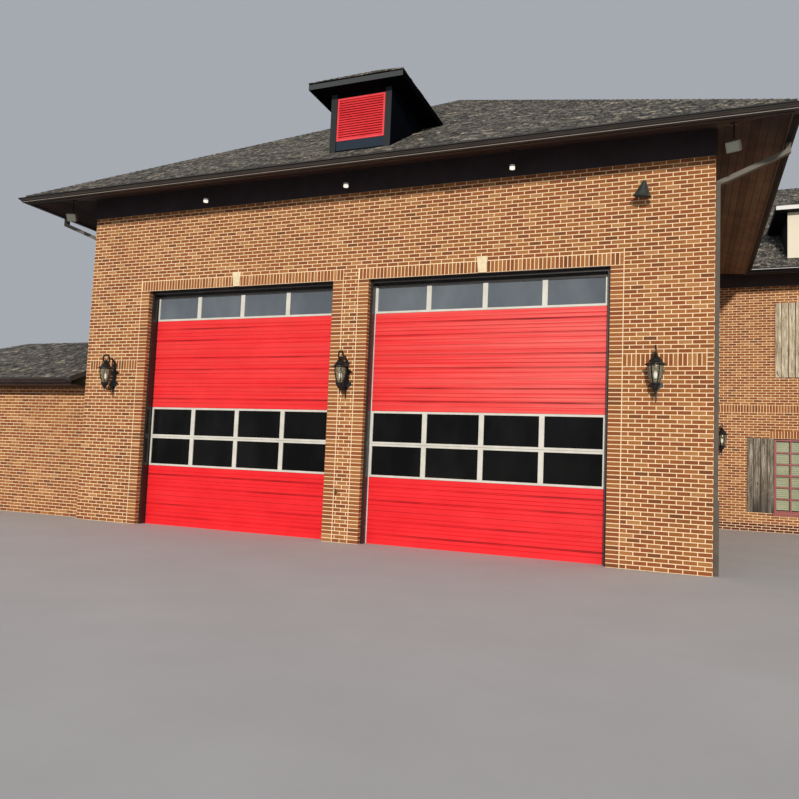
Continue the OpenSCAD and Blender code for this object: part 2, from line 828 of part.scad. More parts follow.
// A brim and an ogee cap with a crown, over ribs that stand on a bowl with a drop
module lantern_frame() {
    rib = lantern_bar / 2;
    cap = [[0, 0], [1, 0], [1, 8], [0.94, 13], [0.76, 24], [0.63, 48], [0.52, 84], [0.34, 116],
        [0.20, 136], [0.15, 160], [0.18, 172], [0.12, 184], [0, 186]];
    bowl = [[0, 0], [0.48, 0], [0.50, -12], [0.42, -30], [0.36, -60], [0.24, -90], [0.13, -110],
        [0, -116]];
    union() {
        translate([0, 0, glass_high]) rotate_extrude($fn = 48)
            polygon([for (p = cap) [p[0] * lantern_r, p[1]]]);
        translate([0, 0, glass_low]) rotate_extrude($fn = 48)
            polygon([for (p = bowl) [p[0] * lantern_r, p[1]]]);
        translate([0, 0, glass_low - 124]) sphere(r = 18, $fn = 24);
        translate([0, 0, glass_low - 196]) cylinder(h = 62, r1 = 4, r2 = 10, $fn = 24);
        for (a = [0 : 60 : 300]) rotate([0, 0, a]) rotate([90, 0, 0]) translate([0, 0, -rib / 2])
            linear_extrude(rib) bent_strip(concat([glass_path[0] - [0, 6]], glass_path,
                [glass_path[len(glass_path) - 1] + [0, 6]]), rib);
    }
}

// A flat ring that stands square to the wall
module scroll_ring(y, z, r) {
    translate([-lantern_bar / 2, y, z]) rotate([0, 90, 0]) difference() {
        cylinder(h = lantern_bar, r = r, $fn = 48);
        translate([0, 0, -eps]) cylinder(h = lantern_bar + 2 * eps, r = r * 0.74, $fn = 48);
    }
}

// A bent flat bar that stands square to the wall; the path holds distances from the lantern's middle
module scroll_bar(path) {
    translate([-lantern_bar / 2, 0, 0]) rotate([90, 0, 90]) linear_extrude(lantern_bar)
        bent_strip(path, lantern_bar * 0.9);
}

// The wall plate with its leaf tips, the arms under and over the lantern, and their scrolls
module lantern_arm() {
    plate_t = 14;
    w = lantern_out - plate_t / 2;
    ring_z = glass_high + 200;
    edge = [[5, 170], [28, 130], [62, 94], [40, 60], [35, 10], [48, -40], [128, -58], [60, -94],
        [42, -132], [46, -220], [96, -254], [112, -304], [56, -336], [32, -382], [16, -408],
        [13, -520], [4, -550]];
    far_edge = [for (i = [len(edge) - 1 : -1 : 0]) [-edge[i][0], edge[i][1]]];
    union() {
        translate([0, lantern_out, glass_high]) rotate([90, 0, 0]) linear_extrude(plate_t)
            polygon(concat(edge, far_edge));
        scroll_bar([[w, glass_low - 65], [w * 0.68, glass_low - 135], [w * 0.32, glass_low - 135],
            [0, glass_low - 108]]);
        scroll_bar([[w, glass_high + 70], [w * 0.86, glass_high + 170], [w * 0.6, glass_high + 216],
            [w * 0.35, glass_high + 208]]);
        scroll_ring(w * 0.58, glass_low - 92, 44);
        scroll_ring(0, ring_z, 100);
    }
}

module wall_lanterns() {
    placed() color("black") for (s = lantern_spots) on_wall(s[0], s[1])
        translate([0, -lantern_out, s[0][2]]) union() {
            lantern_frame();
            lantern_arm();
        }
}

// A thin bowl of clear glass inside the ribs
module lantern_glass() {
    inset = [lantern_bar / 4 + 1, 0];
    outer = [for (p = glass_path) p - inset];
    inner = [for (i = [len(glass_path) - 1 : -1 : 0]) outer[i] - [glass_wall, 0]];
    placed() color("lightgoldenrodyellow", 0.4) for (s = lantern_spots) on_wall(s[0], s[1])
        translate([0, -lantern_out, s[0][2]]) rotate_extrude($fn = 48) polygon(concat(outer, inner));
}

// The half space above the sloping soffit, from a point on its underside
module above_soffit() {
    angle = atan((soffit_high - soffit_low) / soffit_run);
    rotate([angle, 0, 0]) translate([-100, -200, 0]) cube([200, 400, 200]);
}

// The three small lamps that hang from the soffit over the front wall
module soffit_lamps() {
    z = soffit_under(soffit_lamp_out);
    placed() color("black") for (i = [-1 : 1]) translate([i * soffit_lamp_pitch, -soffit_lamp_out, z]) {
        difference() {
            union() {
                translate([0, 0, -20]) cylinder(h = 32, r = 42, $fn = 32);
                translate([0, 0, -soffit_lamp_drop + 130])
                    cylinder(h = soffit_lamp_drop - 140, r = 10, $fn = 24);
                translate([0, 0, -soffit_lamp_drop + 100]) cylinder(h = 40, r = 30, $fn = 32);
                translate([0, 0, -soffit_lamp_drop]) cylinder(h = 100, r = 44, $fn = 32);
            }
            above_soffit();
        }
    }
}

// The floodlights under the front corners of the eave
module corner_floodlights() {
    z = soffit_under(floodlight_out);
    tilt = 30;
    placed() color("darkgray") for (side = [0, 1]) mirror([side, 0, 0])
        translate([half_w + floodlight_side, -floodlight_out, z]) {
            difference() {
                union() {
                    translate([0, 0, -30]) cylinder(h = 60, r = 55, $fn = 32);
                    translate([0, 0, -floodlight_drop]) cylinder(h = floodlight_drop, r = 13, $fn = 24);
                    translate([0, 0, -floodlight_drop]) sphere(r = 26, $fn = 24);
                }
                above_soffit();
            }
            translate([0, 0, -floodlight_drop]) rotate([tilt, 0, -20]) {
                translate([-95, -120, -150]) cube([190, 100, 150]);
                translate([-20, -30, -60]) cube([40, 40, 60]);
            }
        }
}

// The bell-shaped floodlight on the brick at the right of the front wall; its mouth leans
// towards the wall
module wall_floodlight() {
    out = 206;
    arm_z = wall_floodlight_z - 40;
    r = bell_w / 2;
    bell = [[0, 0], [0.17, 0], [0.26, -0.14], [0.48, -0.46], [0.78, -0.84], [1, -1], [0.94, -1],
        [0.72, -0.84], [0.42, -0.46], [0.20, -0.2], [0, -0.16]];
    placed() color("black") translate([half_w - wall_floodlight_in, 0, 0]) union() {
        translate([0, 0, arm_z]) rotate([90, 0, 0]) cylinder(h = 24, r = 50, $fn = 32);
        translate([0, 0, arm_z]) rotate([90, 0, 0]) cylinder(h = out, r = 13, $fn = 24);
        translate([0, -out, wall_floodlight_z]) rotate([11, 9, 0]) rotate_extrude($fn = 48)
            polygon([for (p = bell) [p[0] * r, p[1] * bell_h]]);
    }
}

// The hose tap on the middle pier
module hose_tap() {
    reach = 70;
    placed() color("darkgoldenrod") translate([-98, 0, tap_z]) union() {
        rotate([90, 0, 0]) cylinder(h = 8, r = 32, $fn = 32);
        rotate([90, 0, 0]) cylinder(h = reach, r = 11, $fn = 24);
        translate([0, -reach, -46]) cylinder(h = 60, r = 13, $fn = 24);
        translate([0, -reach, 10]) cylinder(h = 34, r = 6, $fn = 16);
        translate([0, -reach, 40]) cylinder(h = 9, r = 30, $fn = 32);
    }
}

// Ground floor of the wing
module wing_ground_floor() {
    placed() color("gray") box([half_w, wing_setback + wall_t, 0],
        [wing_x - wall_t, main_d - wall_t, floor_t]);
}

module wing_upper_floor() {
    placed() color("burlywood") box([half_w, wing_setback + wall_t, upper_floor_z - upper_floor_t],
        [wing_x - wall_t, main_d - wall_t, upper_floor_z]);
}

// Clear width over which a window is a pair with a post
pair_width = 1200;

// Frame with a meeting rail; a wide window has a post that makes it a pair
module window_frame(w, h, z) {
    y0 = window_reveal;
    y1 = window_reveal + frame_d;
    mid = z + h / 2;
    posts = w > 2 * frame_w + pair_width ? [0] : [];
    union() {
        difference() {
            box([-w / 2, y0, z], [w / 2, y1, z + h]);
            box([-w / 2 + frame_w, y0 - eps, z + frame_w], [w / 2 - frame_w, y1 + eps, z + h - frame_w]);
        }
        difference() {
            union() {
                box([-w / 2 + frame_w - eps, y0 + 20, mid - 22], [w / 2 - frame_w + eps, y1 - 20, mid + 22]);
                for (p = posts) box([p - frame_w / 2, y0 + 6, z + frame_w - eps],
                    [p + frame_w / 2, y1 - 6, z + h - frame_w + eps]);
            }
            box([-w / 2, y0 + (frame_d - glass_t) / 2, z], [w / 2, y0 + (frame_d + glass_t) / 2, z + h]);
        }
    }
}

module window_frames() {
    placed() color("firebrick") for (w = windows) on_wall(w[0], w[1]) window_frame(w[2], w[3], w[4]);
}

// One sheet of glass closes each window, between the two halves of its bars
module window_glass() {
    placed() color("lightblue", 0.5) for (w = windows) on_wall(w[0], w[1])
        box([-w[2] / 2 + frame_w, window_reveal + (frame_d - glass_t) / 2, w[4] + frame_w],
            [w[2] / 2 - frame_w, window_reveal + (frame_d + glass_t) / 2, w[4] + w[3] - frame_w]);
}

module window_sills() {
    placed() color("firebrick") for (w = windows) on_wall(w[0], w[1])
        box([-w[2] / 2 - 30, -sill_out, w[4] - sill_h], [w[2] / 2 + 30, 0, w[4]]);
}

// A board shutter on each side of every window
module shutters() {
    gap = 6;
    board = (shutter_w + gap) / shutter_boards;
    placed() color("darkgray") for (w = windows) on_wall(w[0], w[1])
        for (side = [-1, 1]) translate([side * (w[2] + shutter_w) / 2 + side * 4, 0, 0]) {
            difference() {
                box([-shutter_w / 2, -shutter_t, w[4]], [shutter_w / 2, 0, w[4] + w[3]]);
                for (i = [1 : shutter_boards - 1])
                    box([-shutter_w / 2 + i * board - gap, -shutter_t - eps, w[4] - eps],
                        [-shutter_w / 2 + i * board, -shutter_t / 2, w[4] + w[3] + eps]);
            }
        }
}

wing_dormer_low = roof_top(wing_dormer_out) + dormer_window_sill;

module at_wing_dormer() {
    translate([wing_bays[0], wing_setback, 0]) children();
}

module wing_dormer_walls() {
    placed() color("beige") at_wing_dormer()
        dormer_shell(wing_dormer_w, wing_dormer_out, wing_dormer_top - wing_dormer_fascia_h,
            dormer_window_w, wing_dormer_low, wing_dormer_low + dormer_window_h);
}

module wing_dormer_window() {
    frame = 45;
    placed() color("white") at_wing_dormer() translate([0, -wing_dormer_out - 12, 0]) {
        difference() {
            box([-dormer_window_w / 2, 0, wing_dormer_low],
                [dormer_window_w / 2, dormer_wall_t, wing_dormer_low + dormer_window_h]);
            box([-dormer_window_w / 2 + frame, -eps, wing_dormer_low + frame],
                [dormer_window_w / 2 - frame, 40, wing_dormer_low + dormer_window_h - frame]);
        }
    }
}

module wing_dormer_roof() {
    placed() color(shingle) at_wing_dormer()
        dormer_hip(wing_dormer_w, wing_dormer_out, wing_dormer_top, wing_dormer_lap, wing_dormer_fascia_h);
}

module left_wing_walls() {
    y0 = left_wing_setback;
    y1 = left_wing_setback + left_wing_d;
    placed() color(brick) difference() {
        box([left_x, y0, 0], [-half_w, y1, left_wall_top]);
        box([left_x + wall_t, y0 + wall_t, -eps], [-half_w + eps, y1 - wall_t, left_wall_top + eps]);
    }
}

module left_wing_floor() {
    y0 = left_wing_setback + wall_t;
    y1 = left_wing_setback + left_wing_d - wall_t;
    placed() color("gray") box([left_x + wall_t, y0, 0], [-half_w, y1, floor_t]);
}

module left_wing_roof() {
    placed() color(shingle) for (r = left_runs)
        slope(r, left_edge, left_edge_z, left_angle, left_wing_d / 2, mitre_gap);
}

// Level soffit, fascia and gutter of the left wing
module left_wing_eaves() {
    gutter_low = left_gutter_top - gutter_h;
    back_h = left_roof_under(left_overhang + gutter_t) - gutter_low - eps;
    board_top = left_roof_under(left_overhang);
    inner = left_overhang - fascia_t;
    placed() color("saddlebrown") for (r = left_runs) run_along(r, left_overhang + gutter_w) union() {
        polygon([[0, left_soffit_z], [left_overhang, left_soffit_z], [left_overhang, board_top],
            [inner, left_roof_under(inner)], [inner, left_soffit_z + soffit_t],
            [0, left_soffit_z + soffit_t]]);
        translate([left_overhang, gutter_low]) gutter_outline(back_h);
    }
}

bay_floor();
front_left_pier();
front_middle_pier();
front_right_pier();
front_head_wall();
left_wall();
right_wall();
back_wall();
keystones();
left_door_lining();
right_door_lining();
weather_strips();
left_door_red_sections();
left_door_glazed_sections();
left_door_glass();
right_door_red_sections();
right_door_glazed_sections();
right_door_glass();
frieze_boards();
soffit_boards();
fascia_boards();
gutters();
downspouts();
roof_front();
roof_left();
roof_right();
roof_back();
wing_roof_front();
wing_roof_end();
roof_caps();
dormer_walls();
dormer_louvre();
dormer_roof();
wall_lanterns();
lantern_glass();
soffit_lamps();
corner_floodlights();
wall_floodlight();
hose_tap();
wing_front_wall();
wing_end_wall();
wing_ground_floor();
wing_upper_floor();
window_frames();
window_glass();
window_sills();
shutters();
wing_dormer_walls();
wing_dormer_window();
wing_dormer_roof();
left_wing_walls();
left_wing_floor();
left_wing_roof();
left_wing_eaves();
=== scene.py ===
# %% [markdown]
# # A brick fire station
#
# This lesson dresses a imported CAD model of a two-bay fire station. The walls, roofs, doors and
# lamps come from the CAD at their true size. What Blender adds is what makes them look built:
# single bricks, single shingles, window bars, and finishes with dirt and wear in them.
#
# The frame is in metres. X runs to the right along the front wall, Y into the building and Z up.
# The origin is at the foot of the pier between the two doors.

# %% Load the frame
import json
import math
from collections import namedtuple

import bpy
import numpy as np
from mathutils import Matrix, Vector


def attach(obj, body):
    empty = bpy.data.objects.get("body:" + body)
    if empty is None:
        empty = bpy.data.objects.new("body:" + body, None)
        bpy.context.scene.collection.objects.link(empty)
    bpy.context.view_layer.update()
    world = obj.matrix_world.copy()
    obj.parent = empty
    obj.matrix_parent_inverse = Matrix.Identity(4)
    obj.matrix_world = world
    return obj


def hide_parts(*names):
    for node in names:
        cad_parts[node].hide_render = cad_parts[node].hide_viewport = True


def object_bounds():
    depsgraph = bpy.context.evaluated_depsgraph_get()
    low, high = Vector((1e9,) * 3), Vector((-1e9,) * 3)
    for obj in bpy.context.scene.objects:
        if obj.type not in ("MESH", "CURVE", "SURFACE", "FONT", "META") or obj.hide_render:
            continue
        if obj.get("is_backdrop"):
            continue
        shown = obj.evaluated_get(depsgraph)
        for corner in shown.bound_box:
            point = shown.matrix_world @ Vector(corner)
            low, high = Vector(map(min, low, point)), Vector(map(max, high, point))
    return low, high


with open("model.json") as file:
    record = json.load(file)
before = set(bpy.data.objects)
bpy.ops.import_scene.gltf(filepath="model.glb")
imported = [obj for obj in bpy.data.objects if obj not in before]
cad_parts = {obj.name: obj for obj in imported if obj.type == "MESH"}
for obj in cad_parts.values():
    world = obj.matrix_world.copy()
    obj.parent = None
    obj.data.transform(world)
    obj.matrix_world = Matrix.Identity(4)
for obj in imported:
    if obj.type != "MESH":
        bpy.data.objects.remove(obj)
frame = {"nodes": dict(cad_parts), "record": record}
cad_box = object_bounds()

nodes = frame["nodes"]
print("nodes:", len(nodes), "box:", cad_box)

# %% [markdown]
# The camera stands where the photograph was taken: a little right of the right door, twelve
# metres out, at eye height. Its three axes were found from the brick courses, so they are given
# as yaw, pitch and roll. A matrix built from right, up and backward vectors needs no target
# object, and it keeps the slight roll that a hand-held picture has.

# %% Camera
PICTURE = 799
FOCAL_PIXELS = 728.36
SENSOR = 36.0
WALL_FACE = -0.1525


def camera_axes(yaw, pitch, roll):
    """Right, up and forward vectors: forward is turned by yaw and raised by pitch, and right
    and up are then turned about it by roll."""
    forward = np.array([-math.sin(yaw) * math.cos(pitch), math.cos(yaw) * math.cos(pitch), math.sin(pitch)])
    level = np.array([math.cos(yaw), math.sin(yaw), 0.0])
    raised = np.cross(level, forward)
    right = level * math.cos(roll) + raised * math.sin(roll)
    up = raised * math.cos(roll) - level * math.sin(roll)
    return right, up, forward


YAW, LIFT, ROLL = math.radians(21.6919), math.radians(4.2457), math.radians(2.3127)
EYE = [5.7407, WALL_FACE - 11.80, 1.61896]
right, up, forward = camera_axes(YAW, LIFT, ROLL)
lens = bpy.data.cameras.new("camera")
lens.sensor_width = SENSOR
lens.lens = FOCAL_PIXELS / PICTURE * SENSOR
lens.clip_end = 1200.0
camera = bpy.data.objects.new("camera", lens)
bpy.context.scene.collection.objects.link(camera)
pose = np.eye(4)
pose[:3, 0], pose[:3, 1], pose[:3, 2] = right, up, -forward
pose[:3, 3] = EYE
camera.matrix_world = Matrix(pose.tolist())
bpy.context.scene.camera = camera
print("lens:", round(lens.lens, 2), "mm")

# %% [markdown]
# Every new piece here is worked out as whole arrays of corners and faces and then poured into a
# mesh in one go. That is much faster than adding vertices one at a time, and it matters with
# forty thousand bricks. A piece can carry numbers of its own, such as a tone for each brick,
# and its material reads them.

# %% Making a mesh from arrays
def new_piece(name, points, faces, material, slot, replaced=(), numbers=None, smooth=False):
    """A mesh object from points (n, 3) and a list of face arrays, which may be triangles or
    quads. It rides on the building, and numbers are stored one for each point."""
    mesh = bpy.data.meshes.new(name)
    faces = faces if isinstance(faces, list) else [faces]
    corners = np.concatenate([f.ravel() for f in faces]).astype(np.int32)
    sizes = np.concatenate([np.full(len(f), f.shape[1]) for f in faces])
    starts = np.concatenate([[0], np.cumsum(sizes)[:-1]]).astype(np.int32)
    mesh.vertices.add(len(points))
    mesh.vertices.foreach_set("co", np.asarray(points, dtype=np.float32).ravel())
    mesh.loops.add(len(corners))
    mesh.loops.foreach_set("vertex_index", corners)
    mesh.polygons.add(len(sizes))
    mesh.polygons.foreach_set("loop_start", starts)
    for key, values in (numbers or {}).items():
        layer = mesh.attributes.new(key, "FLOAT", "POINT")
        layer.data.foreach_set("value", np.asarray(values, dtype=np.float32))
    mesh.update(calc_edges=True)
    mesh.validate()
    mesh.polygons.foreach_set("use_smooth", np.full(len(sizes), smooth))
    piece = bpy.data.objects.new(name, mesh)
    bpy.context.scene.collection.objects.link(piece)
    mesh.materials.append(material)
    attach(piece, "root")
    if replaced:
        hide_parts(*replaced)
    print(name, "faces:", len(sizes))
    return piece


BOX = np.array([[0, 3, 2, 1], [4, 5, 6, 7], [0, 1, 5, 4], [1, 2, 6, 5], [2, 3, 7, 6], [3, 0, 4, 7]])


def many(pattern, count, step):
    """The same faces again for each of count solids, whose points follow each other by step."""
    return (pattern[None] + step * np.arange(count)[:, None, None]).reshape(-1, pattern.shape[1])


def gather(parts):
    """Joins (points, faces) pairs into one pair: the faces of each count on from the points
    that come before."""
    points = np.concatenate([p for p, _ in parts])
    starts = np.cumsum([0] + [len(p) for p, _ in parts[:-1]])
    return points, np.concatenate([f + s for (_, f), s in zip(parts, starts)])

# %% [markdown]
# A wall is the easiest place to work in its own directions: along it, out from it, and up. Each
# wall below is a start corner, a heading and a length, taken clockwise as seen from above, so
# that out is always to the left of the heading.

# %% Walls
Wall = namedtuple("Wall", "corner heading length")
HALF = 6.096
SETBACK = 9.144
DEPTH = 21.336
WING_END = HALF + 10.465
front = Wall((HALF, WALL_FACE), 180, 12.192)
left = Wall((-HALF, WALL_FACE), 90, DEPTH)
back = Wall((-HALF, WALL_FACE + DEPTH), 0, HALF + WING_END)
wing_end = Wall((WING_END, WALL_FACE + DEPTH), -90, 12.192)
wing_front = Wall((WING_END, WALL_FACE + SETBACK), 180, 10.465)
right_side = Wall((HALF, WALL_FACE + SETBACK), -90, SETBACK)
LOW_SETBACK, LOW_DEPTH, LOW_LENGTH = 0.220, 4.470, 6.800
low_front = Wall((-HALF, WALL_FACE + LOW_SETBACK), 180, LOW_LENGTH)
low_end = Wall((-HALF - LOW_LENGTH, WALL_FACE + LOW_SETBACK), 90, LOW_DEPTH)
low_back = Wall((-HALF - LOW_LENGTH, WALL_FACE + LOW_SETBACK + LOW_DEPTH), 0, LOW_LENGTH)


def stand(wall, along, out, z):
    """Points of the frame from distances along a wall, out from it and up: the corner, plus
    along times the heading, plus out times the heading turned left."""
    a = math.radians(wall.heading)
    c, s = math.cos(a), math.sin(a)
    along, out, z = np.broadcast_arrays(along, out, z)
    return np.stack([wall.corner[0] + along * c - out * s, wall.corner[1] + along * s + out * c, z], axis=-1)


print("front wall:", front.length, "m, main block:", DEPTH, "m deep, right wing:", wing_front.length, "m")

# %% [markdown]
# ## Finishes
#
# A finish is a small graph of nodes that ends in the Principled shader. All the graphs read
# Object coordinates. Objects sit at the origin unturned, so a noise of scale 20 has lumps of
# five centimetres wherever it is on the building.

# %% Node helpers
def wire(tree, kind, inputs, **settings):
    """Adds one node, makes its settings, and fills its sockets with numbers or links."""
    made = tree.nodes.new("ShaderNode" + kind)
    for key, value in settings.items():
        setattr(made, key, value)
    for key, value in inputs.items():
        if isinstance(value, bpy.types.NodeSocket):
            tree.links.new(value, made.inputs[key])
        else:
            made.inputs[key].default_value = value
    return made


def start_finish(name, roughness=0.6, metallic=0.0, specular=0.5):
    material = bpy.data.materials.new(name)
    material.use_nodes = True
    tree = material.node_tree
    shader = tree.nodes["Principled BSDF"]
    for key, value in (("Roughness", roughness), ("Metallic", metallic), ("Specular IOR Level", specular)):
        shader.inputs[key].default_value = value
    place = wire(tree, "TexCoord", {}).outputs["Object"]
    return material, tree, shader, place


def noise(tree, place, scale, detail=4.0, rough=0.6):
    made = wire(tree, "TexNoise", {"Vector": place, "Scale": scale, "Detail": detail, "Roughness": rough})
    return made.outputs["Fac"]


def stretched(tree, place, by):
    """The coordinates times a factor for each direction, which makes lumps into streaks."""
    return wire(tree, "Mapping", {"Vector": place, "Scale": by}).outputs["Vector"]


def ramp(tree, number, stops):
    """A colour for each number: stops are (position, (r, g, b))."""
    made = wire(tree, "ValToRGB", {"Fac": number})
    line = made.color_ramp
    while len(line.elements) < len(stops):
        line.elements.new(0.5)
    for element, (position, colour) in zip(line.elements, stops):
        element.position = position
        element.color = (*colour, 1.0)
    return made.outputs["Color"]

# %% [markdown]
# Most finishes need a little arithmetic, such as a share that grows with height. A Math node does
# one step of it, so each step gets a short name here, and a finish then reads like a formula.

# %% Arithmetic in nodes
def sums(tree, kind, first, second=0.0):
    """One step of arithmetic on one or two numbers, such as MAXIMUM, DIVIDE or ABSOLUTE."""
    return wire(tree, "Math", {0: first, 1: second}, operation=kind).outputs[0]


def plus(tree, first, second):
    return sums(tree, "ADD", first, second)


def minus(tree, first, second):
    return sums(tree, "SUBTRACT", first, second)


def times(tree, first, second):
    return sums(tree, "MULTIPLY", first, second)


def over(tree, number, limit):
    """1 where a number is more than the limit, else 0."""
    return sums(tree, "GREATER_THAN", number, limit)


def under(tree, number, limit):
    return sums(tree, "LESS_THAN", number, limit)


def within(tree, number, low, high):
    """1 where a number lies between low and high, else 0."""
    return times(tree, over(tree, number, low), under(tree, number, high))


def grey(tree, number, low, high):
    """A number drawn out from between low and high to between 0 and 1."""
    made = wire(tree, "MapRange", {"Value": number, "From Min": low, "From Max": high})
    return made.outputs["Result"]

# %% [markdown]
# The numbers then choose between colours. The last helper of these makes a whole finish that many
# pieces share: two close colours in soft lumps, over a fine grain.

# %% Colour and bump
def blend(tree, share, a, b, kind="MIX"):
    made = wire(tree, "Mix", {0: share, 6: a, 7: b}, data_type="RGBA", blend_type=kind)
    return made.outputs[2]


def tinted(tree, paint, tint):
    return blend(tree, 1.0, paint, tint, "MULTIPLY")


def colour(r, g, b):
    return (r, g, b, 1.0)


def axis_of(tree, place, axis):
    return wire(tree, "SeparateXYZ", {"Vector": place}).outputs[axis]


def coat(tree, shader, paint):
    tree.links.new(paint, shader.inputs["Base Color"])


def bump(tree, shader, height, strength, distance):
    made = wire(tree, "Bump", {"Height": height, "Strength": strength, "Distance": distance})
    tree.links.new(made.outputs["Normal"], shader.inputs["Normal"])


def plain_finish(name, base, second, scale, roughness, metallic=0.0, streak=(1, 1, 1), fine=90.0,
                 depth=0.0008, strength=0.3):
    """Two close colours mixed by soft lumps, with a fine grain as bump: good for paint, metal,
    stone and boards, which differ only in the scales and the streak."""
    material, tree, shader, place = start_finish(name, roughness, metallic)
    place = stretched(tree, place, streak)
    lumps = grey(tree, noise(tree, place, scale, 5.0), 0.35, 0.68)
    coat(tree, shader, blend(tree, lumps, colour(*base), colour(*second)))
    grain = noise(tree, place, fine, 3.0)
    bump(tree, shader, grain, strength, depth)
    return material

# %% [markdown]
# ### Brick and mortar
#
# The bricks are an orange-brown facing brick, and no two are alike: some came out of the kiln
# nearly brown, some pale. Each brick carries a tone between 0 and 1 that was drawn once, and a
# colour ramp turns it into a kiln colour. A noise inside each brick adds the drag marks.

# %% Brick and mortar finishes
def brick_finish():
    material, tree, shader, place = start_finish("brick", 0.88, specular=0.10)
    tone = wire(tree, "Attribute", {}, attribute_name="tone").outputs["Fac"]
    deep = wire(tree, "Attribute", {}, attribute_name="deep").outputs["Fac"]
    kiln = ramp(tree, tone, [
        (0.00, (0.185, 0.072, 0.028)), (0.12, (0.235, 0.080, 0.032)), (0.30, (0.310, 0.094, 0.034)),
        (0.50, (0.305, 0.108, 0.034)), (0.74, (0.370, 0.142, 0.045)), (0.90, (0.430, 0.190, 0.066)),
        (1.00, (0.490, 0.250, 0.105)),
    ])
    kiln = blend(tree, deep, kiln, colour(0.105, 0.020, 0.016))
    drag = grey(tree, noise(tree, stretched(tree, place, (1, 1, 2.4)), 34.0, 6.0, 0.7), 0.30, 0.75)
    worn = blend(tree, drag, colour(0.70, 0.68, 0.66), colour(1.22, 1.20, 1.16))
    kiln = tinted(tree, kiln, worn)
    damp = grey(tree, noise(tree, place, 0.55, 3.0), 0.52, 0.78)
    kiln = blend(tree, damp, kiln, tinted(tree, kiln, colour(0.84, 0.83, 0.84)))
    coat(tree, shader, kiln)
    bump(tree, shader, noise(tree, place, 150.0, 5.0, 0.75), 0.5, 0.0022)
    return material


def mortar_finish():
    material, tree, shader, place = start_finish("mortar", 0.93, specular=0.10)
    lumps = grey(tree, noise(tree, place, 9.0, 6.0, 0.7), 0.32, 0.72)
    sand = blend(tree, lumps, colour(0.94, 0.690, 0.415), colour(1.0, 0.795, 0.520))
    soot = grey(tree, noise(tree, place, 0.8, 3.0), 0.5, 0.8)
    sand = blend(tree, soot, sand, colour(0.84, 0.61, 0.37))
    coat(tree, shader, sand)
    bump(tree, shader, noise(tree, place, 420.0, 3.0), 0.5, 0.0012)
    return material


brick = brick_finish()
mortar = mortar_finish()
print("brick nodes:", len(brick.node_tree.nodes), "mortar nodes:", len(mortar.node_tree.nodes))

# %% [markdown]
# ### Shingles
#
# Asphalt shingles are crushed stone on felt, so they are matt and speckled. A picture of stone
# chips would repeat all over a roof of this size, so noises make the speckle: a fine one for the
# chips and a coarser one for the clumps that they lie in. Each tab has its own tone besides.

# %% Shingle finish
def shingle_finish():
    material, tree, shader, place = start_finish("shingle", 0.92)
    tone = wire(tree, "Attribute", {}, attribute_name="tone").outputs["Fac"]
    felt = ramp(tree, tone, [
        (0.0, (0.024, 0.023, 0.021)), (0.35, (0.070, 0.065, 0.058)),
        (0.7, (0.130, 0.119, 0.102)), (1.0, (0.250, 0.222, 0.178)),
    ])
    drawn_out = stretched(tree, place, (1.0, 0.5, 0.5))
    speck = noise(tree, drawn_out, 27.0, 8.0, 0.95)
    grains = blend(tree, grey(tree, speck, 0.42, 0.59), colour(0.16, 0.16, 0.17), colour(2.25, 2.20, 2.08))
    felt = tinted(tree, felt, grains)
    clumps = grey(tree, noise(tree, drawn_out, 16.0, 1.0, 0.5), 0.37, 0.63)
    felt = tinted(tree, felt, blend(tree, clumps, colour(0.33, 0.33, 0.34), colour(1.72, 1.70, 1.66)))
    streak = grey(tree, noise(tree, stretched(tree, place, (1.6, 1.6, 0.25)), 1.1, 4.0), 0.45, 0.75)
    felt = blend(tree, streak, felt, tinted(tree, felt, colour(0.82, 0.83, 0.84)))
    coat(tree, shader, felt)
    bump(tree, shader, speck, 0.6, 0.0018)
    return material


shingle = shingle_finish()
print("shingle nodes:", len(shingle.node_tree.nodes))

# %% [markdown]
# ### Door enamel
#
# The engine doors are steel sections in red enamel, with narrow grooves between their ribs. Above
# the glazed sections a pale painted sheen lies on the enamel in streaks, and painted shade darkens
# the grooves in patches. This could be painted by hand on each section. Here the shares of sheen
# and shade come from a point's height, its place along the wall and its depth behind the door's face.

# %% Door enamel
DOOR_FACE = WALL_FACE + 0.250
UPPER_SECTIONS = 2.0


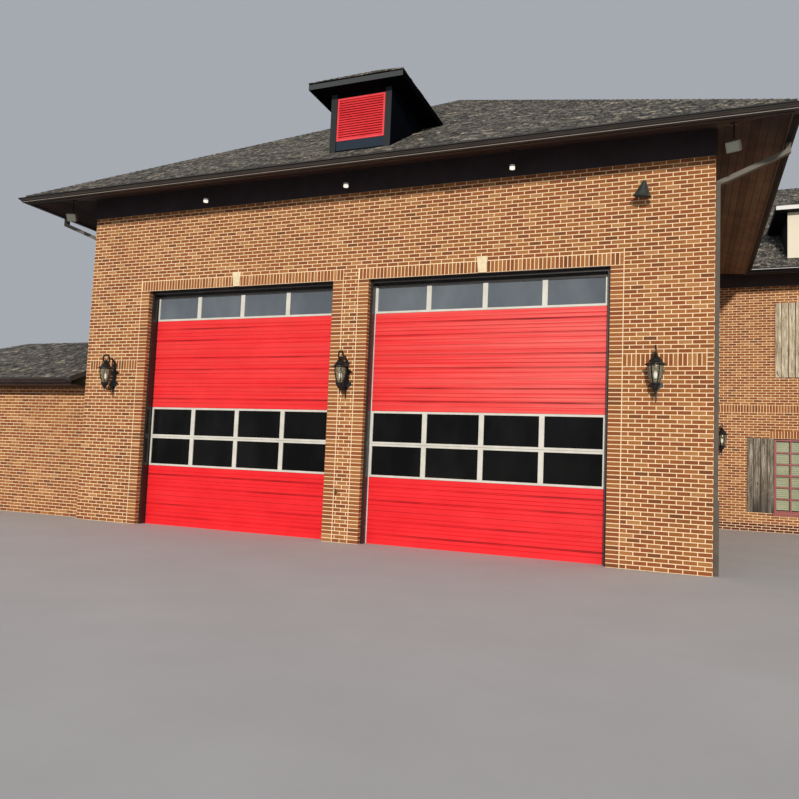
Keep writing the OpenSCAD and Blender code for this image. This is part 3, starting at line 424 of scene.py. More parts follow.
def enamel_finish():
    """Red paint, dusty in places. Above the glazed sections a pale painted sheen lies on it in streaks,
    more so towards the right. In the grooves, behind the door's face, painted shade darkens it in patches."""
    material, tree, shader, place = start_finish("door_enamel", 0.38, specular=0.3)
    lumps = grey(tree, noise(tree, stretched(tree, place, (1, 1, 2.0)), 1.4, 4.0), 0.35, 0.7)
    paint = blend(tree, lumps, colour(0.80, 0.014, 0.020), colour(0.88, 0.022, 0.028))
    dust = grey(tree, noise(tree, stretched(tree, place, (0.6, 1, 5.0)), 5.0, 6.0), 0.55, 0.85)
    paint = blend(tree, times(tree, dust, 0.25), paint, colour(0.55, 0.055, 0.05))
    upper = over(tree, axis_of(tree, place, "Z"), UPPER_SECTIONS)
    aside = grey(tree, axis_of(tree, place, "X"), -0.6, 3.6)
    streaks = grey(tree, noise(tree, stretched(tree, place, (0.2, 1, 16.0)), 1.5, 3.0), 0.36, 0.64)
    # Painted sheen: above the glazed sections the red is paled in streaks, more towards the right.
    painted_sheen = times(tree, upper, plus(tree, times(tree, aside, 0.11), 0.035))
    painted_sheen = times(tree, painted_sheen, plus(tree, times(tree, streaks, 1.4), 0.3))
    paint = blend(tree, painted_sheen, paint, colour(0.90, 0.47, 0.36))
    # Painted shade: behind the door's face, in the grooves, the red is darkened in patches, more on the upper
    # sections towards the right.
    inside = grey(tree, axis_of(tree, place, "Y"), DOOR_FACE + 0.0015, DOOR_FACE + 0.010)
    patchy = grey(tree, noise(tree, stretched(tree, place, (0.3, 1, 9.0)), 1.6, 3.0), 0.46, 0.66)
    share = plus(tree, times(tree, patchy, 0.65), 0.10)
    deeper = times(tree, upper, plus(tree, times(tree, aside, 0.24), 0.02))
    share = plus(tree, share, deeper)
    shaded = times(tree, inside, share)
    paint = blend(tree, shaded, paint, colour(0.16, 0.004, 0.006))
    coat(tree, shader, paint)
    bump(tree, shader, noise(tree, place, 40.0, 2.0), 0.08, 0.001)
    return material

# %% [markdown]
# ### Glass
#
# A door's glass looks black because the room behind it is dark, and its top row has a pale painted
# reflection. Glass that bends light would cost a long render and show an empty room, so the
# darkness is painted shade in the glass's own colour, and its gloss does the rest. The lanterns
# have seeded glass, which is half clear and wavy from small bubbles.

# %% Glass finishes
def glass_finish(name, tint, second, specular=0.12, alpha=1.0, reflection_above=None):
    """Glass over a dark room, whose darkness is painted into its colour. Above a height it may carry a
    pale painted reflection, as the top row of a door does. Less alpha lets the blinds behind it show."""
    material, tree, shader, place = start_finish(name, 0.03, specular=specular)
    shader.inputs["Alpha"].default_value = alpha
    film = grey(tree, noise(tree, stretched(tree, place, (1, 1, 0.5)), 1.2, 3.0), 0.4, 0.75)
    body = blend(tree, film, colour(*tint), colour(*second))
    if reflection_above is not None:
        # Painted reflection: above the given height the glass is paled, as a reflection would pale it.
        high = over(tree, axis_of(tree, place, "Z"), reflection_above)
        painted_reflection = blend(tree, film, colour(0.104, 0.122, 0.140), colour(0.158, 0.182, 0.202))
        body = blend(tree, high, body, painted_reflection)
    coat(tree, shader, body)
    bump(tree, shader, noise(tree, place, 1.7, 1.0), 0.04, 0.02)
    return material


def lamp_finish():
    """Seeded glass: half clear, with the wavy look that small bubbles give it."""
    material, tree, shader, place = start_finish("lamp_glass", 0.12)
    shader.inputs["Alpha"].default_value = 0.42
    seeds = noise(tree, place, 38.0, 3.0)
    smoke = grey(tree, seeds, 0.35, 0.7)
    coat(tree, shader, blend(tree, smoke, colour(0.13, 0.12, 0.075), colour(0.52, 0.46, 0.30)))
    bump(tree, shader, seeds, 0.6, 0.006)
    return material

# %% [markdown]
# ### Paint in zones
#
# Some pieces have stretches of another colour. A gutter has a painted highlight along its lower
# edge with a band of painted shade above it and a painted shadow under the shingles, the dark
# sides of the dormers are painted shade, and a small lamp under the soffit has a bright cup. Such
# a piece could be cut into several meshes. Here one finish asks in which ranges of X, Y and Z a
# point lies, and the mesh stays as the CAD made it.

# %% Paint in zones
def zoned_finish(name, body, zones, roughness=0.5, specular=0.3, glow=0.0):
    """Paint with stretches of other colours. Each zone is a colour and the ranges, by axis, that
    a point must lie in; later zones lie over earlier ones. Glow makes the paint give off light in
    its own colour, so that a pale zone shines and a black one stays black."""
    material, tree, shader, place = start_finish(name, roughness, specular=specular)
    lumps = grey(tree, noise(tree, stretched(tree, place, (0.7, 0.7, 2.0)), 2.2, 5.0), 0.35, 0.7)
    paint = blend(tree, lumps, colour(*[0.85 * c for c in body]), colour(*[1.2 * c for c in body]))
    for other, ranges in zones:
        mask = 1.0
        for axis, (low, high) in ranges.items():
            mask = times(tree, mask, within(tree, axis_of(tree, place, axis), low, high))
        paint = blend(tree, mask, paint, colour(*other))
    coat(tree, shader, paint)
    if glow:
        tree.links.new(paint, shader.inputs["Emission Color"])
        shader.inputs["Emission Strength"].default_value = glow
    bump(tree, shader, noise(tree, place, 90.0, 3.0), 0.2, 0.0006)
    return material

# %% [markdown]
# ### Soffit boards
#
# The soffit is closed with stained boards that run along the eaves and turn at every corner. A
# flat pattern would have to be cut and turned there too. Instead each point finds how far out
# from the walls it lies. That distance divided by a board's width numbers the board, and what is
# left over shows where two boards meet.

# %% Soffit boards
def distance_out(tree, place):
    """How far a point of the eaves lies out from the walls: the greatest of its distances past
    the outer walls, and at the wing's inner corner the lesser of the two that meet there."""
    x, y = axis_of(tree, place, "X"), axis_of(tree, place, "Y")
    inner = sums(tree, "MINIMUM", minus(tree, x, HALF), minus(tree, WALL_FACE + SETBACK, y))
    out = sums(tree, "MAXIMUM", inner, minus(tree, -HALF, x))
    out = sums(tree, "MAXIMUM", out, minus(tree, WALL_FACE, y))
    out = sums(tree, "MAXIMUM", out, minus(tree, y, WALL_FACE + DEPTH))
    return sums(tree, "MAXIMUM", out, minus(tree, x, WING_END))


def soffit_finish(board=0.116):
    """Stained boards that run along the eaves, each with its own tone, and a dark line at each
    edge where two of them meet. Under the right eave painted light brightens the stain towards the back, and
    painted shade darkens it at the front."""
    material, tree, shader, place = start_finish("soffit_boards", 0.6, specular=0.2)
    across = sums(tree, "DIVIDE", distance_out(tree, place), board)
    number = sums(tree, "FLOOR", across)
    own = wire(tree, "TexWhiteNoise", {"W": number}, noise_dimensions="1D").outputs["Value"]
    stain = blend(tree, own, colour(0.044, 0.030, 0.026), colour(0.064, 0.044, 0.038))
    grain = grey(tree, noise(tree, place, 2.2, 5.0), 0.35, 0.7)
    stain = tinted(tree, stain, blend(tree, grain, colour(0.8, 0.8, 0.8), colour(1.25, 1.25, 1.25)))
    # Painted light and shade: under the right eave the stain is brightened towards the back and darkened near
    # the front.
    painted_light = grey(tree, axis_of(tree, place, "Y"), WALL_FACE - 0.6, WALL_FACE + 2.0)
    painted_light = times(tree, painted_light, over(tree, axis_of(tree, place, "X"), HALF))
    stain = tinted(tree, stain, blend(tree, painted_light, colour(0.75, 0.75, 0.80), colour(3.9, 3.6, 2.7)))
    line = under(tree, sums(tree, "FRACT", across), 0.06)
    stain = blend(tree, line, stain, colour(0.016, 0.011, 0.008))
    coat(tree, shader, stain)
    return material

# %% [markdown]
# ### Corner lamps
#
# A floodlight hangs under each front corner of the eaves: a dark arm, a pale case and a lens.
# Both are one CAD node with one finish, so the finish has to tell the three apart by their places.
# That is easy in a lamp's own directions, in which the case is a plain box.

# %% Corner lamps
def corner_lamp_finish():
    """A dark arm, a pale case and a grey-green lens. The lamps are tilted, so the point is first
    turned back into a lamp's own directions; the left lamp is the right one's mirror image."""
    material, tree, shader, place = start_finish("corner_lamp", 0.4)
    x, y, z = (axis_of(tree, place, axis) for axis in "XYZ")
    x = sums(tree, "ABSOLUTE", x)
    folded = wire(tree, "CombineXYZ", {0: x, 1: y, 2: z}).outputs[0]
    own = wire(tree, "Mapping", {"Vector": folded, "Location": (HALF + 0.230, WALL_FACE - 0.450, 6.3828),
                                 "Rotation": (math.radians(30), 0.0, math.radians(-20))},
               vector_type="TEXTURE").outputs["Vector"]
    case = within(tree, axis_of(tree, own, "Y"), -0.2, -0.0195)
    lens = times(tree, within(tree, axis_of(tree, own, "X"), -0.080, 0.080),
                 within(tree, axis_of(tree, own, "Z"), -0.135, -0.015))
    lens = times(tree, lens, within(tree, axis_of(tree, own, "Y"), -0.2, -0.1195))
    paint = blend(tree, case, colour(0.016, 0.015, 0.014), colour(0.130, 0.125, 0.108))
    paint = blend(tree, lens, paint, colour(0.150, 0.160, 0.125))
    coat(tree, shader, paint)
    return material

# %% [markdown]
# ### Weathered boards
#
# The shutters are rough boards that have stood in the weather for years. The fibres are a noise
# whose coordinates are squeezed along the boards, so that its lumps draw out into long streaks,
# and the knots are the few high spots of another noise. Damp blackens the edges of each board.

# %% Weathered boards
SHUTTER_BOARD = 0.1565
LOWER_INNER, UPPER_INNER, SHUTTER_END = 1.054, 0.414, 1.72
UPPER_STOREY = 3.0
FIRST_BAY, NEXT_BAY = 2.756, 4.857
bays = [HALF + FIRST_BAY, HALF + FIRST_BAY + NEXT_BAY]


def shutter_finish():
    """Weathered boards: darker and greyer below, and darker still in streaks towards the bottom, and
    paler and warmer above. Their edges are black with damp; an edge is found from the distance to the middle of
    the bay."""
    material, tree, shader, place = start_finish("weathered_boards", 0.85, specular=0.2)
    fibres = stretched(tree, place, (7.0, 7.0, 0.45))
    grain = noise(tree, fibres, 3.0, 9.0, 0.85)
    low = ramp(tree, grain, [
        (0.38, (0.040, 0.032, 0.024)), (0.50, (0.200, 0.170, 0.125)), (0.62, (0.52, 0.46, 0.37))])
    high = ramp(tree, grain, [
        (0.38, (0.110, 0.084, 0.058)), (0.50, (0.480, 0.395, 0.265)), (0.60, (0.86, 0.77, 0.60))])
    height = axis_of(tree, place, "Z")
    storey = over(tree, height, UPPER_STOREY)
    wood = blend(tree, storey, low, high)
    # Darker in streaks towards the bottom of the lower boards.
    darker_low = times(tree, grey(tree, height, 1.45, 0.45), grey(tree, noise(tree, fibres, 1.3, 5.0), 0.3, 0.6))
    wood = blend(tree, darker_low, wood, colour(0.040, 0.034, 0.030))
    bay = over(tree, axis_of(tree, place, "X"), (bays[0] + bays[1]) / 2)
    middle = plus(tree, bays[0], times(tree, bay, bays[1] - bays[0]))
    aside = sums(tree, "ABSOLUTE", minus(tree, axis_of(tree, place, "X"), middle))
    inner = minus(tree, LOWER_INNER, times(tree, storey, LOWER_INNER - UPPER_INNER))
    turns = sums(tree, "FRACT", sums(tree, "DIVIDE", minus(tree, aside, inner), SHUTTER_BOARD))
    edge = times(tree, under(tree, turns, 0.09), under(tree, aside, SHUTTER_END))
    damp = noise(tree, stretched(tree, place, (1, 1, 0.6)), 2.0, 3.0)
    edge = times(tree, edge, grey(tree, damp, 0.25, 0.6))
    wood = blend(tree, edge, wood, colour(0.050, 0.040, 0.032))
    knots = grey(tree, noise(tree, stretched(tree, place, (1, 1, 0.35)), 9.0, 3.0), 0.66, 0.74)
    wood = blend(tree, knots, wood, colour(0.060, 0.046, 0.034))
    coat(tree, shader, wood)
    bump(tree, shader, grain, 0.6, 0.004)
    return material

# %% [markdown]
# ### A finish for every node
#
# The record gives each CAD node a material slot, and each slot has one finish. Plain paint, metal
# and stone differ only in two colours and a few scales, so one function makes them all. Some nodes
# differ from the rest of their slot, as the gutters do from the door linings, and those have
# finishes of their own.

# %% Finishes by slot
TOP_ROW = 4.1
finishes = {
    "brick": mortar,
    "concrete": plain_finish("concrete", (0.30, 0.29, 0.27), (0.40, 0.39, 0.37), 2.5, 0.85),
    "limestone": plain_finish("limestone", (0.74, 0.60, 0.37), (0.90, 0.76, 0.50), 14.0, 0.8,
                              fine=120, depth=0.002),
    "bronze": plain_finish("dark_bronze", (0.014, 0.012, 0.011), (0.026, 0.022, 0.019), 3.0, 0.30,
                           depth=0.0003),
    "door_red": enamel_finish(),
    "door_rail": plain_finish("white_rail", (0.60, 0.58, 0.50), (0.72, 0.70, 0.62), 5.0, 0.4, depth=0.0002),
    "door_glass": glass_finish("door_glass", (0.003, 0.003, 0.003), (0.010, 0.010, 0.010),
                               reflection_above=TOP_ROW),
    "dark_timber": soffit_finish(),
    "shingle": plain_finish("roof_felt", (0.035, 0.032, 0.030), (0.060, 0.055, 0.050), 8.0, 0.9),
    "dormer_bronze": plain_finish("dormer_boards", (0.014, 0.016, 0.022), (0.024, 0.027, 0.035), 4.0, 0.5),
    "louvre_red": plain_finish("louvre_paint", (0.74, 0.040, 0.052), (0.84, 0.060, 0.070), 6.0, 0.5),
    "black_metal": plain_finish("black_iron", (0.010, 0.010, 0.010), (0.022, 0.021, 0.020), 12.0, 0.42, 0.3),
    "lamp_glass": lamp_finish(),
    "grey_metal": corner_lamp_finish(),
    "tap_brass": plain_finish("old_brass", (0.20, 0.13, 0.05), (0.34, 0.24, 0.10), 30.0, 0.45, 0.8),
    "floor_timber": plain_finish("floor_boards", (0.26, 0.17, 0.10), (0.34, 0.24, 0.15), 3.0, 0.6,
                                 streak=(1, 8, 1)),
    "window_red": plain_finish("window_paint", (0.22, 0.022, 0.018), (0.31, 0.038, 0.030), 7.0, 0.45),
    "window_glass": glass_finish("window_glass", (0.010, 0.060, 0.035), (0.030, 0.090, 0.055), 0.3,
                                 alpha=0.13),
    "shutter_timber": shutter_finish(),
    "siding": plain_finish("siding", (0.56, 0.48, 0.36), (0.66, 0.58, 0.45), 2.0, 0.6, streak=(1, 1, 4)),
    "white_trim": plain_finish("white_trim", (0.70, 0.68, 0.64), (0.82, 0.80, 0.76), 4.0, 0.5),
}
print("finishes by slot:", len(finishes))

# %% Finishes of single nodes
FRONT_EAVE, WING_EAVE, DORMER_EDGE = (-2.0, -1.1), (7.0, 9.0), (-1.0, -0.9090)
GUTTER_FOOT = 6.4915
special = {
    "frieze_boards": plain_finish("frieze_paint", (0.026, 0.018, 0.020), (0.038, 0.026, 0.029), 4.0, 0.5),
    "fascia_boards": plain_finish("fascia_paint", (0.016, 0.012, 0.011), (0.026, 0.019, 0.016), 4.0, 0.5),
    # Painted shade: the strip at the left door's left jamb is near black.
    "weather_strips": zoned_finish("weather_strip", (0.62, 0.61, 0.58), [
        ((0.012, 0.010, 0.010), {"X": (-4.6, -4.4)})]),
    # On the front gutter: a painted shadow under the shingles at the top of the lip, a painted highlight along
    # the lower edge and a band of painted shade just above it. The right eave's gutter is darker, and the
    # wing's gutter is near black with a pale line along its lip.
    "gutters": zoned_finish("gutter_enamel_painted_light", (0.066, 0.058, 0.050), [
        ((0.018, 0.015, 0.013), {"Y": FRONT_EAVE, "Z": (GUTTER_FOOT + 0.006, GUTTER_FOOT + 0.0265)}),
        ((0.41, 0.36, 0.31), {"Y": FRONT_EAVE, "Z": (GUTTER_FOOT, GUTTER_FOOT + 0.006)}),
        ((0.003, 0.003, 0.003), {"Y": FRONT_EAVE, "Z": (6.5480, 6.5720)}),
        ((0.014, 0.012, 0.011), {"X": (6.9, 7.4), "Y": (-1.0, 8.0)}),
        ((0.006, 0.005, 0.006), {"Y": WING_EAVE}),
        ((0.74, 0.73, 0.68), {"Y": WING_EAVE, "Z": (6.5600, 6.5710)})], 0.6, 0.10),
    "downspouts": zoned_finish("pipe_enamel", (0.105, 0.085, 0.064), [
        ((0.150, 0.135, 0.108), {"Z": (5.97, 6.40)})], 0.55, 0.2),
    # Painted shade: the dormer's sides, and the strip above the louvre where the eave's shadow falls, keep the
    # near-black body colour; only the front panel and the corner boards show the slate paint.
    "dormer_walls": zoned_finish("dormer_paint_painted_shade", (0.005, 0.006, 0.009), [
        ((0.030, 0.041, 0.056), {"Y": (-0.5935, -0.5915), "Z": (7.0, 7.9)}),
        ((0.038, 0.040, 0.042), {"Y": (-0.70, -0.6120)})], 0.9, 0.0),
    # Painted shade: the dormer's side fascias are near black; the front fascia keeps its grey paint, with a
    # black line along its top.
    "dormer_roof": zoned_finish("dormer_fascia", (0.004, 0.004, 0.005), [
        ((0.066, 0.070, 0.072), {"Y": DORMER_EDGE}),
        ((0.002, 0.002, 0.003), {"Y": DORMER_EDGE, "Z": (8.138, 8.17)})], 0.9, 0.0),
    # Painted shade: the sides of the wing's dormer are near black; only its front fascia and front siding are
    # pale.
    "wing_dormer_roof": zoned_finish("pale_fascia_painted_shade", (0.008, 0.008, 0.011), [
        ((0.80, 0.78, 0.74), {"Y": (8.0, 8.2625)})], 0.7, 0.1),
    "wing_dormer_walls": zoned_finish("pale_siding_painted_shade", (0.012, 0.011, 0.015), [
        ((0.82, 0.74, 0.57), {"Y": (8.0, 8.5525)})], 0.7, 0.1),
    "soffit_lamps": zoned_finish("lamp_cup", (0.004, 0.004, 0.004), [
        ((0.16, 0.15, 0.13), {"Z": (6.3, 6.4050)}),
        ((1.0, 0.96, 0.88), {"Z": (6.3, 6.3750)})], glow=0.75),
    "wall_floodlight": zoned_finish("bell_enamel", (0.045, 0.052, 0.046), [], 0.32, 0.7),
}
slots = {part["node"]: part["material_slot"] for part in frame["record"]["subparts"]}
for name, node in nodes.items():
    node.data.materials.clear()
    node.data.materials.append(special.get(name, finishes[slots[name]]))
print("finishes of single nodes:", len(special), "nodes dressed:", len(nodes))

# %% [markdown]
# ## Bricks
#
# The bricks are modular: eight inches long with their joint, and three courses to eight inches.
# They could be a bump pattern, but a joint is a real groove that catches shade and light, so each
# brick is a small block that stands four millimetres out of the mortar. They are laid in
# running bond. Beside each door is a plain stack one brick wide, over every opening stand
# upright bricks, called soldiers, and the outer piers have a band of soldiers at lamp height.

# %% Laying out bricks
LONG = 0.2032
COURSE = LONG / 3
JOINT = 0.013
PROUD = 0.004
SUNK = 0.002
Zone = namedtuple("Zone", "a b low high kind")


def row_of(a, b, low, high, pitch, phase, gap_a, gap_b):
    """Bricks of one course between a and b: edges lie at phase plus whole pitches, and each
    brick is clipped to the stretch that is left when the joints are taken off."""
    first = math.floor((a - phase) / pitch)
    edges = phase + pitch * np.arange(first, math.ceil((b - phase) / pitch) + 1)
    lows = np.maximum(edges[:-1] + JOINT / 2, a + gap_a)
    highs = np.minimum(edges[1:] - JOINT / 2, b - gap_b)
    keep = highs - lows > 0.02
    count = int(keep.sum())
    return np.column_stack([lows[keep], highs[keep], np.full(count, low), np.full(count, high)])


def gap_beside(kind, past_end):
    """What a course leaves free beside a neighbour: half a joint at a stack or soldiers, nothing
    at a hole, and at a wall's end it may run past it."""
    if kind in ("stack", "soldier"):
        return JOINT / 2
    return -past_end if kind == "end" else 0.0


def lay(wall, height, zones, start_over=0.0, end_over=0.0):
    """All the bricks of a wall as rows of (from, to, low, high). A hole has none, a stack has
    one upright line of joints, and a soldier zone is one row of standing bricks."""
    rows = []
    for k in range(math.ceil(height / COURSE)):
        low, high = k * COURSE + JOINT / 2, min((k + 1) * COURSE - JOINT / 2, height)
        if high - low < 0.015:
            continue
        middle = (low + high) / 2
        busy = sorted((z for z in zones if z.low < middle < z.high), key=lambda z: z.a)
        at, kind = 0.0, "end"
        for zone in busy + [Zone(wall.length, wall.length, 0, 0, "end")]:
            if zone.a - at > 0.03:
                gap_a, gap_b = gap_beside(kind, start_over), gap_beside(zone.kind, end_over)
                rows.append(row_of(at, zone.a, low, high, LONG, LONG / 2 * (k % 2), gap_a, gap_b))
            if zone.kind == "stack":
                hole_edges = [edge for z in busy if z.kind == "hole" for edge in (z.a, z.b)]
                gap_a, gap_b = (-PROUD if edge in hole_edges else JOINT / 2 for edge in (zone.a, zone.b))
                rows.append(np.array([[zone.a + gap_a, zone.b - gap_b, low, high]]))
            at, kind = max(at, zone.b), zone.kind
    for zone in zones:
        if zone.kind == "soldier":
            low, high = zone.low + JOINT / 2, zone.high - JOINT / 2
            rows.append(row_of(zone.a, zone.b, low, high, COURSE, zone.a, 0.0, 0.0))
    return np.concatenate(rows)

# %% [markdown]
# Each brick could be a cube of its own, but forty thousand objects would be slow. The corners of
# all the bricks of a wall are worked out at once instead. On the two walls that the camera sees
# from near by, the edges of a brick are bevelled and catch a line of light. The others do without,
# which saves four faces in ten.

# %% Bricks as blocks
def brick_blocks(wall, rows, bevel):
    """Blocks that stand out of a wall. With a bevel each has three rings of four corners: at
    its back, where its edge starts to round, and its face, drawn in by the bevel."""
    a, b, low, high = rows.T
    ring_u = np.stack([a, b, b, a], axis=1)
    ring_z = np.stack([low, low, high, high], axis=1)
    inward_u = bevel * np.array([1, -1, -1, 1])
    inward_z = bevel * np.array([1, 1, -1, -1])
    rings = [stand(wall, ring_u, -SUNK, ring_z)]
    if bevel:
        rings.append(stand(wall, ring_u, PROUD - bevel, ring_z))
    rings.append(stand(wall, ring_u + inward_u, PROUD, ring_z + inward_z))
    points = np.concatenate(rings, axis=1)
    ring_count = len(rings)
    pattern = [[0, 1, 2, 3], [4 * ring_count - 4, 4 * ring_count - 1, 4 * ring_count - 2, 4 * ring_count - 3]]
    for r in range(ring_count - 1):
        for i in range(4):
            j = (i + 1) % 4
            pattern.append([4 * r + i, 4 * r + 4 + i, 4 * r + 4 + j, 4 * r + j])
    return points.reshape(-1, 3), many(np.array(pattern), len(rows), 4 * ring_count), 4 * ring_count


def brick_piece(name, parts, bevel, seed, deep_below=0.0):
    """Lays the bricks of one or more walls and gives each brick its tone. Bricks whose tops are
    below deep_below are the dark red ones at the foot of a wall."""
    rng = np.random.default_rng(seed)
    blocks_made, tones, deeps = [], [], []
    for wall, height, zones, start_over, end_over in parts:
        rows = lay(wall, height, zones, start_over, end_over)
        points, faces, each = brick_blocks(wall, rows, bevel)
        blocks_made.append((points, faces))
        tones.append(np.repeat(rng.beta(1.7, 1.5, len(rows)), each))
        deeps.append(np.repeat(np.where(rows[:, 3] < deep_below, 0.85, 0.0), each))
    return new_piece(name, *gather(blocks_made), brick, "brick",
                     numbers={"tone": np.concatenate(tones), "deep": np.concatenate(deeps)})

# %% [markdown]
# The openings are worked out once for each wall. A position that is known along X is turned into
# a distance along the wall, which on the front runs from right to left. The CAD counts its
# courses with a height rounded to a tenth of a millimetre, so the heads use that one.

# %% Openings and bands
ROUNDED_COURSE = 0.0677
BRICK_TOP = 94 * ROUNDED_COURSE
HEAD = 70 * ROUNDED_COURSE
OPEN_A, OPEN_B = 0.3555, 4.5715
STACK = LONG


def from_right(wall, x):
    return wall.corner[0] - x


def span(wall, x0, x1, low, high, kind):
    return Zone(from_right(wall, x1), from_right(wall, x0), low, high, kind)


front_zones = []
for side in (-1, 1):
    a, b = sorted((side * OPEN_A, side * OPEN_B))
    pier = sorted((side * (OPEN_B + STACK), side * (HALF - LONG / 2)))
    front_zones += [
        span(front, a, b, 0.0, HEAD, "hole"),
        span(front, a - STACK, a, 0.0, HEAD, "stack"),
        span(front, b, b + STACK, 0.0, HEAD, "stack"),
        span(front, a - STACK, b + STACK, HEAD, HEAD + LONG, "soldier"),
        span(front, *pier, 46 * COURSE, 49 * COURSE, "soldier"),
    ]

Window = namedtuple("Window", "wall middle width height sill")
LOWER = (2.100, 1.900, 0.490)
UPPER = (0.820, 1.940, 3.966)
windows = [Window(wing_front, from_right(wing_front, x), *size) for x in bays for size in (LOWER, UPPER)]
windows += [Window(back, x + HALF, *size) for x in bays for size in (LOWER, UPPER)]
windows += [Window(wing_end, wing_end.length / 2, *size) for size in (LOWER, UPPER)]
BAND = (45 * COURSE, 48 * COURSE)


def window_zones(wall):
    """A hole for each window of the wall, soldiers over it, and the band at the floor's level."""
    zones = [Zone(0.0, wall.length, *BAND, "soldier")]
    for w in windows:
        if w.wall is wall:
            a, b = w.middle - w.width / 2, w.middle + w.width / 2
            zones.append(Zone(a, b, w.sill - 0.07, w.sill + w.height, "hole"))
            zones.append(Zone(a - 0.1, b + 0.1, w.sill + w.height, w.sill + w.height + LONG, "soldier"))
    return zones


print("windows:", len(windows), "zones of the front wall:", len(front_zones))

# %% [markdown]
# At an opening the brickwork turns the corner and runs in as far as the frame. Such a jamb is a
# very narrow wall that starts at the corner of the opening, so the same functions lay its bricks.

# %% Jambs
def jamb(wall, at, depth, low, high, ahead):
    """The bricks that turn into an opening. At its near side the face looks ahead along the
    wall and runs inwards; at its far side it looks back and runs outwards."""
    start = stand(wall, at, 0.0 if ahead else -depth, 0.0)
    face = Wall((start[0], start[1]), wall.heading - 90 if ahead else wall.heading + 90, depth)
    below = [Zone(0.0, depth, 0.0, low, "hole")] if low > 0 else []
    return face, high, below, -SUNK if ahead else 0.0, 0.0 if ahead else -SUNK


DOOR_REVEAL, WINDOW_REVEAL = 0.110, 0.090
door_jambs = [jamb(front, at, DOOR_REVEAL, 0.0, HEAD, ahead) for z in front_zones if z.kind == "hole"
              for at, ahead in ((z.a, True), (z.b, False))]
window_jambs = [jamb(w.wall, w.middle + side * w.width / 2, WINDOW_REVEAL, w.sill, w.sill + w.height,
                     side < 0) for w in windows for side in (-1, 1)]
print("jambs:", len(door_jambs) + len(window_jambs))

# %% [markdown]
# Each piece is laid with its own seed, so that no two have the same order of tones. Where two
# walls meet, the bricks of one run past the corner by as much as a brick stands out, and those of
# the other stop just short of it.

# %% Lay the walls
LOW_TOP = 2.758
low_wing_hole = [Zone(LOW_SETBACK + 0.02, LOW_SETBACK + LOW_DEPTH - 0.02, 0.0, LOW_TOP + 0.002, "hole")]
brick_piece("front_bricks", [(front, BRICK_TOP, front_zones, PROUD, PROUD)] + door_jambs, 0.003, 11)
brick_piece("window_reveal_bricks", window_jambs, 0.0, 18)
side_band = [Zone(0, SETBACK, *BAND, "soldier")]
brick_piece("right_side_bricks", [(right_side, BRICK_TOP, side_band, 0.0, -SUNK)], 0.0, 12)
brick_piece("wing_front_bricks", [(wing_front, BRICK_TOP, window_zones(wing_front), PROUD, 0.0)],
            0.002, 13, deep_below=0.20)
brick_piece("wing_end_bricks", [(wing_end, BRICK_TOP, window_zones(wing_end), -SUNK, -SUNK)], 0.0, 14)
brick_piece("back_bricks", [(back, BRICK_TOP, window_zones(back), PROUD, PROUD)], 0.0, 15)
brick_piece("left_side_bricks", [(left, BRICK_TOP, low_wing_hole, -SUNK, -SUNK)], 0.0, 16)
brick_piece("low_wing_bricks", [(low_front, LOW_TOP, [], 0.0, PROUD), (low_end, LOW_TOP, [], -SUNK, -SUNK),
                                (low_back, LOW_TOP, [], PROUD, 0.0)], 0.0, 17)

# %% [markdown]
# ## Shingles
#
# A shingle roof is read from its courses: each lies over the one below, so its lower edge is a
# small step with a shadow under it. Each tab here is a thin wedge that stands up to nine
# millimetres proud at its lower edge and runs out to nothing at the next course. Tabs have uneven
# widths and three thicknesses, as laminated shingles do. At a hip or valley the ends of a tab are
# moved to the cut line, which is straight in plan.

# %% Shingle courses
Slope = namedtuple("Slope", "wall edge edge_z pitch half start end")
EXPOSURE = 0.143
TAB_MEAN = 0.130
TAB_TOP = 0.009
PITCH = 7.5 / 12
EDGE = 0.953 + 0.032
EDGE_Z = 6.570 + PITCH * (0.130 - 0.032)
LOW_PITCH = 5 / 12
LOW_EDGE = 0.640 + 0.032
LOW_EDGE_Z = 2.880 + LOW_PITCH * (0.130 - 0.032)


def on_slope(slope, along, up_slope, lift):
    """Points on a slope: up_slope goes back from the eave and up by the pitch, and lift is
    square to the slope."""
    t = math.atan(slope.pitch)
    out = slope.edge - up_slope * math.cos(t) + lift * math.sin(t)
    return stand(slope.wall, along, out, slope.edge_z + up_slope * math.sin(t) + lift * math.cos(t))


def ends_of(slope, up_slope):
    """Where a slope starts and ends at a height: a hip moves in by the distance gone back, a
    valley out, and an end against a wall stays."""
    out = slope.edge - up_slope * math.cos(math.atan(slope.pitch))
    return -slope.start * out, slope.wall.length + slope.end * out


